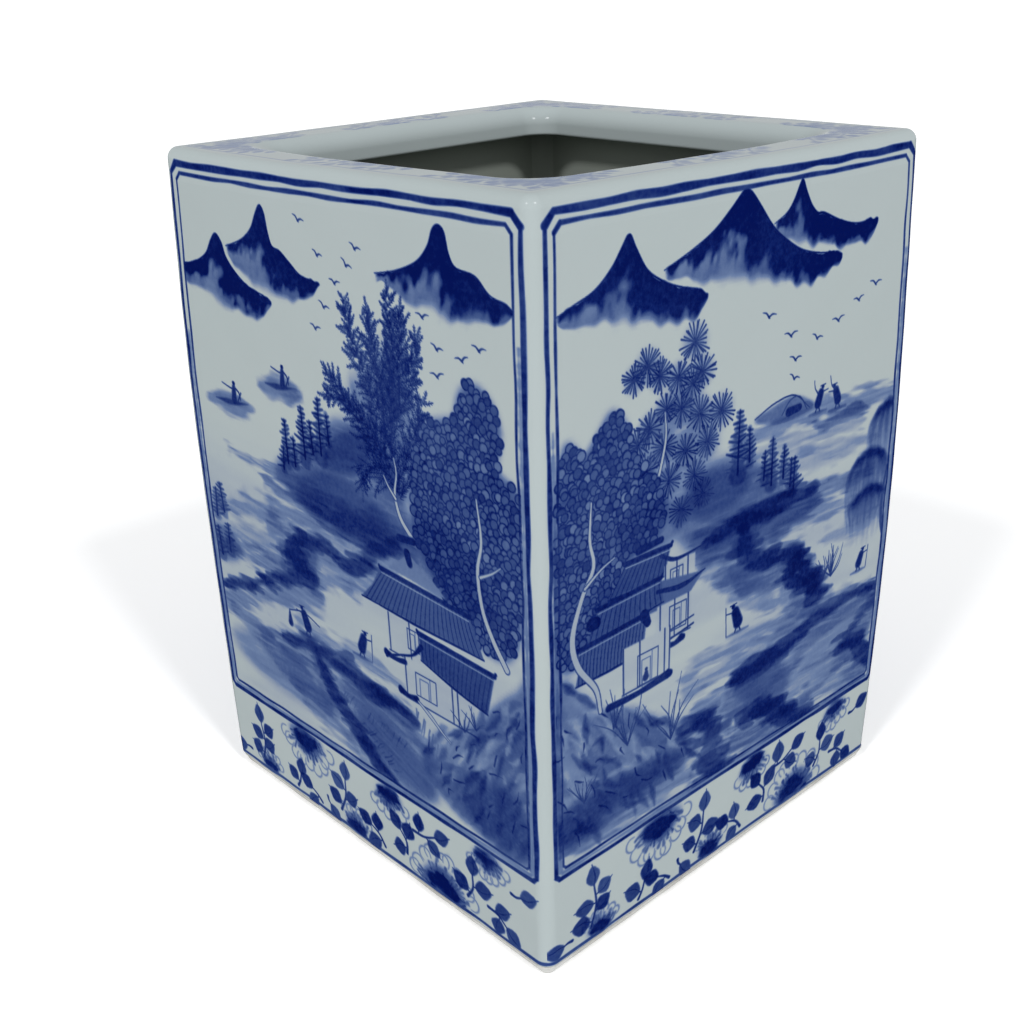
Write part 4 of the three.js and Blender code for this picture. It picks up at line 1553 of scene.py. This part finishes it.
def foot_body():
    """One mitred strip of the unglazed foot: a leaning outer face, a worn lower edge and a flat sole."""
    lean, wear = 1.2, 0.7
    section = [(0.0, FOOT_TOP), (0.35, FOOT_TOP - 0.9)]
    section += [(lean - 0.25 + 0.1 * k, FOOT_TOP * (0.42 - 0.1 * k)) for k in range(3)]
    for angle in np.linspace(0.15, math.pi / 2, 6):
        section.append((lean + 0.1 + wear * (1 - math.cos(angle)), wear * (1 - math.sin(angle))))
    for angle in np.linspace(0, math.pi / 2, 5):
        section.append((FOOT_WIDTH - wear + wear * math.sin(angle), wear * (1 - math.cos(angle))))
    section += [(FOOT_WIDTH, FOOT_TOP - 1.0), (FOOT_WIDTH, FOOT_TOP)]
    inset = np.array([d for d, _ in section])[:, None]
    z = np.array([h for _, h in section])[:, None]
    ends, middle = np.linspace(STRAIGHT, REACH, 9), np.linspace(-STRAIGHT, STRAIGHT, 80)
    s = np.concatenate([-ends[::-1], middle[1:-1], ends])
    radius = np.maximum(CORNER - inset, 0.05)
    x, y, _, _ = round_square(s[None, :], HALF - inset, radius)
    ragged = 0.22 * np.sin(s / 3.1) * np.cos(s / 7.3 + 1) * (1 - (s / REACH) ** 2)
    outer = (inset < 2.5) & (z < FOOT_TOP) & (z > 0.05)
    points = np.stack([x, y + outer * ragged[None, :] * 0.5, np.broadcast_to(z, x.shape)], axis=-1)
    body = Body()
    body.tube(points)
    return body


def floor_body():
    """The floor slab: a top that dips slightly, and an uneven glazed underside set up inside the foot."""
    half, count = INNER, 41
    line = np.linspace(-half, half, count)
    x, y = line[None, :] + 0 * line[:, None], line[:, None] + 0 * line[None, :]
    edge = (1 - (x / half) ** 2) * (1 - (y / half) ** 2)
    top = FLOOR_TOP - 0.4 * edge + 0.12 * edge * np.sin(x / 8) * np.cos(y / 9)
    low = FOOT_TOP + 0.5 * edge + 0.18 * edge * np.sin(x / 11 + 1) * np.sin(y / 7)
    body = Body()
    upper = body.grid(np.stack([x, y, top], axis=-1), (0, 0), (0.48, 0.48), flip=True)
    lower = body.grid(np.stack([x, y, low], axis=-1), (0.5, 0), (0.98, 0.48))
    sides = [
        (upper[0], lower[0]),
        (upper[:, -1], lower[:, -1]),
        (upper[-1, ::-1], lower[-1, ::-1]),
        (upper[::-1, 0], lower[::-1, 0]),
    ]
    for k, (high, deep) in enumerate(sides):
        step = np.arange(count) / count
        row = 0.52 + 0.1 * k
        faces = np.stack([high[:-1], deep[:-1], deep[1:], high[1:]], axis=1)
        corners = [(step[:-1], row), (step[:-1], row + 0.08), (step[1:], row + 0.08), (step[1:], row)]
        chart = np.stack([np.stack([u, np.full(count - 1, v)], axis=-1) for u, v in corners], axis=1)
        body.add_faces(faces, chart, smooth=False)
    return body


def coil_body(along, start):
    """A coil smeared into an inside corner: a hollow fillet. along gives its points' places from the corner's
    two faces and its run: (a, b, t) to x, y and z, with t from 0 to 1."""
    arc = np.linspace(0, math.pi / 2, 9)
    radius = COIL
    turn = np.concatenate([[math.pi / 4], arc])
    a = np.concatenate([[0.0], radius * (1 - np.sin(arc)) - 0.06])
    b = np.concatenate([[0.0], radius * (1 - np.cos(arc)) - 0.06])
    t = np.linspace(0, 1, 34)
    swell = 1 + 0.07 * np.sin(t * 23 + start) * np.sin(np.pi * t)
    points = np.stack([along(p * swell, q * swell, t) for p, q in zip(a, b, strict=True)])
    beyond = np.stack([along(p + np.sin(c), q + np.cos(c), t) for p, q, c in zip(a, b, turn, strict=True)])
    flat = np.stack([along(p + 0 * t, q + 0 * t, t) for p, q in zip(a, b, strict=True)])
    body = Body()
    body.tube(points, beyond - flat)
    return body


# ---------------------------------------------------------------------------------------------------
# Materials


class Tree:
    """A node tree, with a method for each kind of node that the materials need."""

    def __init__(self, owner):
        owner.use_nodes = True
        self.nodes, self.links = owner.node_tree.nodes, owner.node_tree.links

    def coordinates(self, kind):
        """One kind of texture coordinates."""
        return self.nodes.new("ShaderNodeTexCoord").outputs[kind]

    def noise(self, coordinates, scale, detail=3.0, roughness=0.55):
        """Cloudy noise from 0 to 1."""
        node = self.nodes.new("ShaderNodeTexNoise")
        node.inputs["Scale"].default_value = scale
        node.inputs["Detail"].default_value = detail
        node.inputs["Roughness"].default_value = roughness
        self.links.new(coordinates, node.inputs["Vector"])
        return node.outputs["Fac"]

    def math(self, operation, a, b, clamp=False):
        """One sum on two values or sockets."""
        node = self.nodes.new("ShaderNodeMath")
        node.operation = operation
        node.use_clamp = clamp
        for socket, value in zip(node.inputs, (a, b), strict=False):
            if isinstance(value, (int, float)):
                socket.default_value = value
            else:
                self.links.new(value, socket)
        return node.outputs[0]

    def range(self, value, low, high, out_low, out_high):
        """Maps a value from one range to another, clamped."""
        node = self.nodes.new("ShaderNodeMapRange")
        self.links.new(value, node.inputs["Value"])
        for name, number in (("From Min", low), ("From Max", high), ("To Min", out_low),
                ("To Max", out_high)):
            node.inputs[name].default_value = number
        return node.outputs["Result"]

    def ramp(self, value, stops):
        """A colour for a value, between stops."""
        node = self.nodes.new("ShaderNodeValToRGB")
        elements = node.color_ramp.elements
        while len(elements) < len(stops):
            elements.new(0.5)
        for element, (place, colour) in zip(elements, stops, strict=True):
            element.position = place
            element.color = (*colour, 1)
        self.links.new(value, node.inputs["Fac"])
        return node.outputs["Color"]

    def mix(self, share, a, b, blend="MIX"):
        """Blends two colours or sockets."""
        node = self.nodes.new("ShaderNodeMix")
        node.data_type = "RGBA"
        node.blend_type = blend
        for socket, value in ((node.inputs[0], share), (node.inputs[6], a), (node.inputs[7], b)):
            if isinstance(value, (int, float)):
                socket.default_value = value
            elif isinstance(value, tuple):
                socket.default_value = (*value, 1)
            else:
                self.links.new(value, socket)
        return node.outputs[2]

    def cells(self, coordinates, scale):
        """The distance and colour of a pattern of random cells."""
        node = self.nodes.new("ShaderNodeTexVoronoi")
        node.inputs["Scale"].default_value = scale
        self.links.new(coordinates, node.inputs["Vector"])
        return node.outputs["Distance"], node.outputs["Color"]

    def bump(self, shader, height, strength, distance):
        """Gives a shader fine relief."""
        node = self.nodes.new("ShaderNodeBump")
        node.inputs["Strength"].default_value = strength
        node.inputs["Distance"].default_value = distance
        self.links.new(height, node.inputs["Height"])
        self.links.new(node.outputs["Normal"], shader.inputs["Normal"])


def new_material(name):
    """A material, its node tree, its shader and the object's coordinates."""
    material = bpy.data.materials.new(name)
    tree = Tree(material)
    return material, tree, tree.nodes["Principled BSDF"], tree.coordinates("Object")


# The glaze's colour over each amount of ink, and the bare glaze inside the pot, given a darker colour there
# as painted shade
COBALT = [
    (0.0, (0.388, 0.437, 0.442)),
    (0.10, (0.288, 0.336, 0.403)),
    (0.28, (0.132, 0.191, 0.336)),
    (0.50, (0.055, 0.094, 0.235)),
    (0.72, (0.022, 0.047, 0.173)),
    (0.90, (0.004, 0.015, 0.120)),
    (1.0, (0.0006, 0.005, 0.079)),
]
INNER_GLAZE_PAINTED_SHADE = (0.29, 0.315, 0.285)


def glaze_material(name, painted=True, mirror=0.4):
    """Glossy pale glaze over grainy cobalt. Ink below zero marks the pot's inside, which takes a darker glaze
    colour as painted shade.
    """
    material, tree, shader, place = new_material(name)
    clouds = tree.noise(place, 38.0, 4.0)
    if painted:
        ink = tree.nodes.new("ShaderNodeAttribute")
        ink.attribute_name = "ink"
        grains = tree.noise(place, 900.0, 4.0, 0.65)
        gather = tree.range(grains, 0.3, 0.7, 0.93, 1.07)
        drift = tree.range(clouds, 0.3, 0.7, 0.93, 1.07)
        value = tree.math("MULTIPLY", ink.outputs["Fac"], gather)
        value = tree.math("MULTIPLY", value, drift, clamp=True)
        colour = tree.ramp(value, COBALT)
        # Inside the pot the glaze turns to the darker inside colour: painted shade
        inner = tree.range(ink.outputs["Fac"], -1.0, 0.0, 1.0, 0.0)
        colour = tree.mix(inner, colour, INNER_GLAZE_PAINTED_SHADE)
    else:
        # The plain glaze is the darker inside colour all over, painted shade, with cloudy variation
        colour = tree.ramp(clouds, [(0.3, INNER_GLAZE_PAINTED_SHADE), (0.7, tuple(1.2 * c for c in INNER_GLAZE_PAINTED_SHADE))])
    warm = tree.range(tree.noise(place, 14.0, 2.0), 0.3, 0.7, 0.0, 0.35)
    colour = tree.mix(warm, colour, (0.97, 0.985, 0.96), "MULTIPLY")
    # Iron specks: a few small brown dots
    distance, cell = tree.cells(place, 60.0)
    dot = tree.range(distance, 0.015, 0.03, 1.0, 0.0)
    rare = tree.math("GREATER_THAN", cell, 0.93)
    speck = tree.math("MULTIPLY", tree.math("MULTIPLY", dot, rare, clamp=True), 0.7)
    colour = tree.mix(speck, colour, (0.10, 0.06, 0.035))
    tree.links.new(colour, shader.inputs["Base Color"])
    smears = tree.noise(place, 55.0, 3.0)
    tree.links.new(tree.range(smears, 0.3, 0.7, 0.10, 0.17), shader.inputs["Roughness"])
    shader.inputs["IOR"].default_value = 1.36
    shader.inputs["Specular IOR Level"].default_value = mirror
    # Orange peel and pinholes in the glaze
    peel = tree.noise(place, 420.0, 2.0)
    distance, cell = tree.cells(place, 260.0)
    pit = tree.range(distance, 0.0, 0.09, -0.6, 0.0)
    rare_pit = tree.math("GREATER_THAN", cell, 0.8)
    height = tree.math("ADD", peel, tree.math("MULTIPLY", pit, rare_pit))
    tree.bump(shader, height, 0.35, 0.00006)
    return material


def clay_material(name):
    """Bare fired porcelain: matt, buff grey, rubbed darker where it has stood."""
    material, tree, shader, place = new_material(name)
    blotches = tree.noise(place, 60.0, 5.0)
    clays = [(0.30, (0.42, 0.41, 0.38)), (0.5, (0.54, 0.535, 0.51)), (0.68, (0.61, 0.61, 0.59))]
    colour = tree.ramp(blotches, clays)
    grit = tree.noise(place, 1500.0, 3.0)
    colour = tree.mix(tree.range(grit, 0.60, 0.72, 0.0, 0.5), colour, (0.22, 0.19, 0.15))
    tree.links.new(colour, shader.inputs["Base Color"])
    tree.links.new(tree.range(blotches, 0.3, 0.7, 0.75, 0.92), shader.inputs["Roughness"])
    tree.bump(shader, grit, 0.5, 0.00015)
    return material


# ---------------------------------------------------------------------------------------------------
# Camera, floor and lights


def add_camera():
    """Stands the camera off the corner between the front and right walls, a little above the rim."""
    scene = bpy.context.scene
    data = bpy.data.cameras.new("camera")
    data.lens = 45.63
    data.sensor_width = 36.0
    camera = bpy.data.objects.new("camera", data)
    scene.collection.objects.link(camera)
    # Solved from the pot's corners in the photograph, in widths of the pot
    eye = Vector((1.787, -1.729, 1.669)) * SIDE * MM
    forward = Vector((-0.6780, 0.6208, -0.3937)).normalized()
    right = Vector((0.6838, 0.7291, -0.0279))
    right = (right - forward * right.dot(forward)).normalized()
    up = right.cross(forward)
    turn = Matrix((right, up, -forward)).transposed()
    camera.matrix_world = Matrix.Translation(eye) @ turn.to_4x4()
    scene.camera = camera


def add_lamp(name, azimuth, elevation, strength):
    """A distant studio lamp. Azimuth 0 shines on the front wall and 90 on the right one."""
    data = bpy.data.lights.new(name, "SUN")
    data.angle = math.radians(8)
    data.energy = strength
    lamp = bpy.data.objects.new(name, data)
    a, e = math.radians(azimuth), math.radians(elevation)
    towards = Vector((math.sin(a) * math.cos(e), -math.cos(a) * math.cos(e), math.sin(e)))
    lamp.location = towards
    lamp.rotation_euler = towards.to_track_quat("Z", "Y").to_euler()
    bpy.context.scene.collection.objects.link(lamp)


def add_floor():
    """A plain pale floor that reaches past the edges of the view."""
    mesh = bpy.data.meshes.new("floor")
    reach, rings, around = 12.0, 40, 64  # its radius in metres, and its faces outwards and around
    radii = reach * (np.arange(rings + 1) / rings) ** 2
    angles = np.arange(around) / around * TAU
    points = [(0.0, 0.0, 0.0)] + [(r * math.cos(a), r * math.sin(a), 0.0) for r in radii[1:] for a in angles]
    faces = [(0, 1 + i, 1 + (i + 1) % around) for i in range(around)]
    for k in range(rings - 1):
        a, b = 1 + k * around, 1 + (k + 1) * around
        faces += [(a + i, b + i, b + (i + 1) % around, a + (i + 1) % around) for i in range(around)]
    mesh.from_pydata(points, [], faces)
    floor = bpy.data.objects.new("floor", mesh)
    floor.location.z = -0.2 * MM  # clear of the foot
    bpy.context.scene.collection.objects.link(floor)
    material, tree, shader, place = new_material("pale_floor")
    pale, paler = (0.955, 0.955, 0.955), (0.965, 0.965, 0.965)
    colour = tree.ramp(tree.noise(place, 4.0, 2.0), [(0.3, pale), (0.7, paler)])
    tree.links.new(colour, shader.inputs["Base Color"])
    shader.inputs["Roughness"].default_value = 0.9
    shader.inputs["Specular IOR Level"].default_value = 0.1
    shader.inputs["Emission Color"].default_value = (1.0, 1.0, 1.0, 1)
    shader.inputs["Emission Strength"].default_value = 0.22
    mesh.materials.append(material)
    floor.visible_glossy = False


def add_world():
    """A bright room above the pot and a dark one below the floor, so that the walls mirror no white."""
    world = bpy.data.worlds.new("studio")
    tree = Tree(world)
    background = tree.nodes["Background"]
    background.inputs["Color"].default_value = (0.97, 0.985, 1.0, 1)
    split = tree.nodes.new("ShaderNodeSeparateXYZ")
    tree.links.new(tree.coordinates("Generated"), split.inputs["Vector"])
    height = split.outputs["Z"]  # the sine of the elevation
    above = tree.range(height, -0.055, -0.04, 0.0, 1.0)
    dimmed = tree.range(height, 0.0, 0.1, 1.0, 0.53)  # the horizon is white and the rest of the room less so
    tree.links.new(tree.math("MULTIPLY", above, dimmed), background.inputs["Strength"])
    bpy.context.scene.world = world
    bpy.context.scene.view_settings.view_transform = "Standard"


# ---------------------------------------------------------------------------------------------------
# The object


def place_piece(body, name, node, material, turns=0):
    """Builds a piece in place of a CAD node."""
    piece = body.build(name, turns)
    piece.data.materials.append(material)
    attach(piece, "root")
    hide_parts(node)


add_camera()
add_floor()
add_world()
# The lamps stand where they put the photograph's two glints and light the inside of the mouth
add_lamp("left_lamp", 12, 41, 1.1)
add_lamp("right_lamp", 81, 41, 1.15)

painted_glaze = glaze_material("painted_glaze")
rim_glaze = glaze_material("rim_glaze", mirror=0.2)
# The slab and fillets inside and under the pot take the darker inside glaze: painted shade
inside_glaze_painted_shade = glaze_material("inside_glaze_painted_shade", painted=False)
bare_clay = clay_material("bare_clay")

wall_paintings = [
    paint_wall(SIDE, HEIGHT, 11, paint_pavilion_landscape),
    paint_wall(SIDE, HEIGHT, 22, paint_village_landscape),
    paint_wall(SIDE, HEIGHT, 33, paint_pavilion_landscape, mirrored=True),
    paint_wall(SIDE, HEIGHT, 44, paint_village_landscape, mirrored=True),
]
rim_painting = paint_rim(SIDE, 55)

SIDES = ("front", "right", "back", "left")
CORNERS = ("front_right", "back_right", "back_left", "front_left")


def corner_run(a, b, t):
    """Up the inside corner between the front and right walls."""
    z = FLOOR_TOP + (RIM_BOTTOM - FLOOR_TOP) * t
    return np.stack([INNER - a + 0 * t, -INNER + b + 0 * t, z], axis=-1)


def floor_run(a, b, t):
    """Along the foot of the front wall's inside face."""
    x = (INNER - COIL) * (2 * t - 1)
    return np.stack([x, -INNER + a + 0 * t, FLOOR_TOP + b + 0 * t], axis=-1)


place_piece(rim_body(wall_paintings, rim_painting), "rim", "rim_plate", rim_glaze)
place_piece(floor_body(), "base_slab", "floor_slab", inside_glaze_painted_shade)
for turns, side in enumerate(SIDES):
    wall = wall_body(wall_paintings[turns], turns)
    place_piece(wall, f"{side}_wall_skin", f"{side}_wall", painted_glaze, turns)
    place_piece(foot_body(), f"{side}_foot", f"{side}_foot_strip", bare_clay, turns)
    coil = coil_body(floor_run, turns)
    place_piece(coil, f"{side}_floor_fillet", f"{side}_floor_coil", inside_glaze_painted_shade, turns)
    corner = CORNERS[turns]
    coil = coil_body(corner_run, turns + 2.5)
    place_piece(coil, f"{corner}_fillet", f"{corner}_corner_coil", inside_glaze_painted_shade, turns)
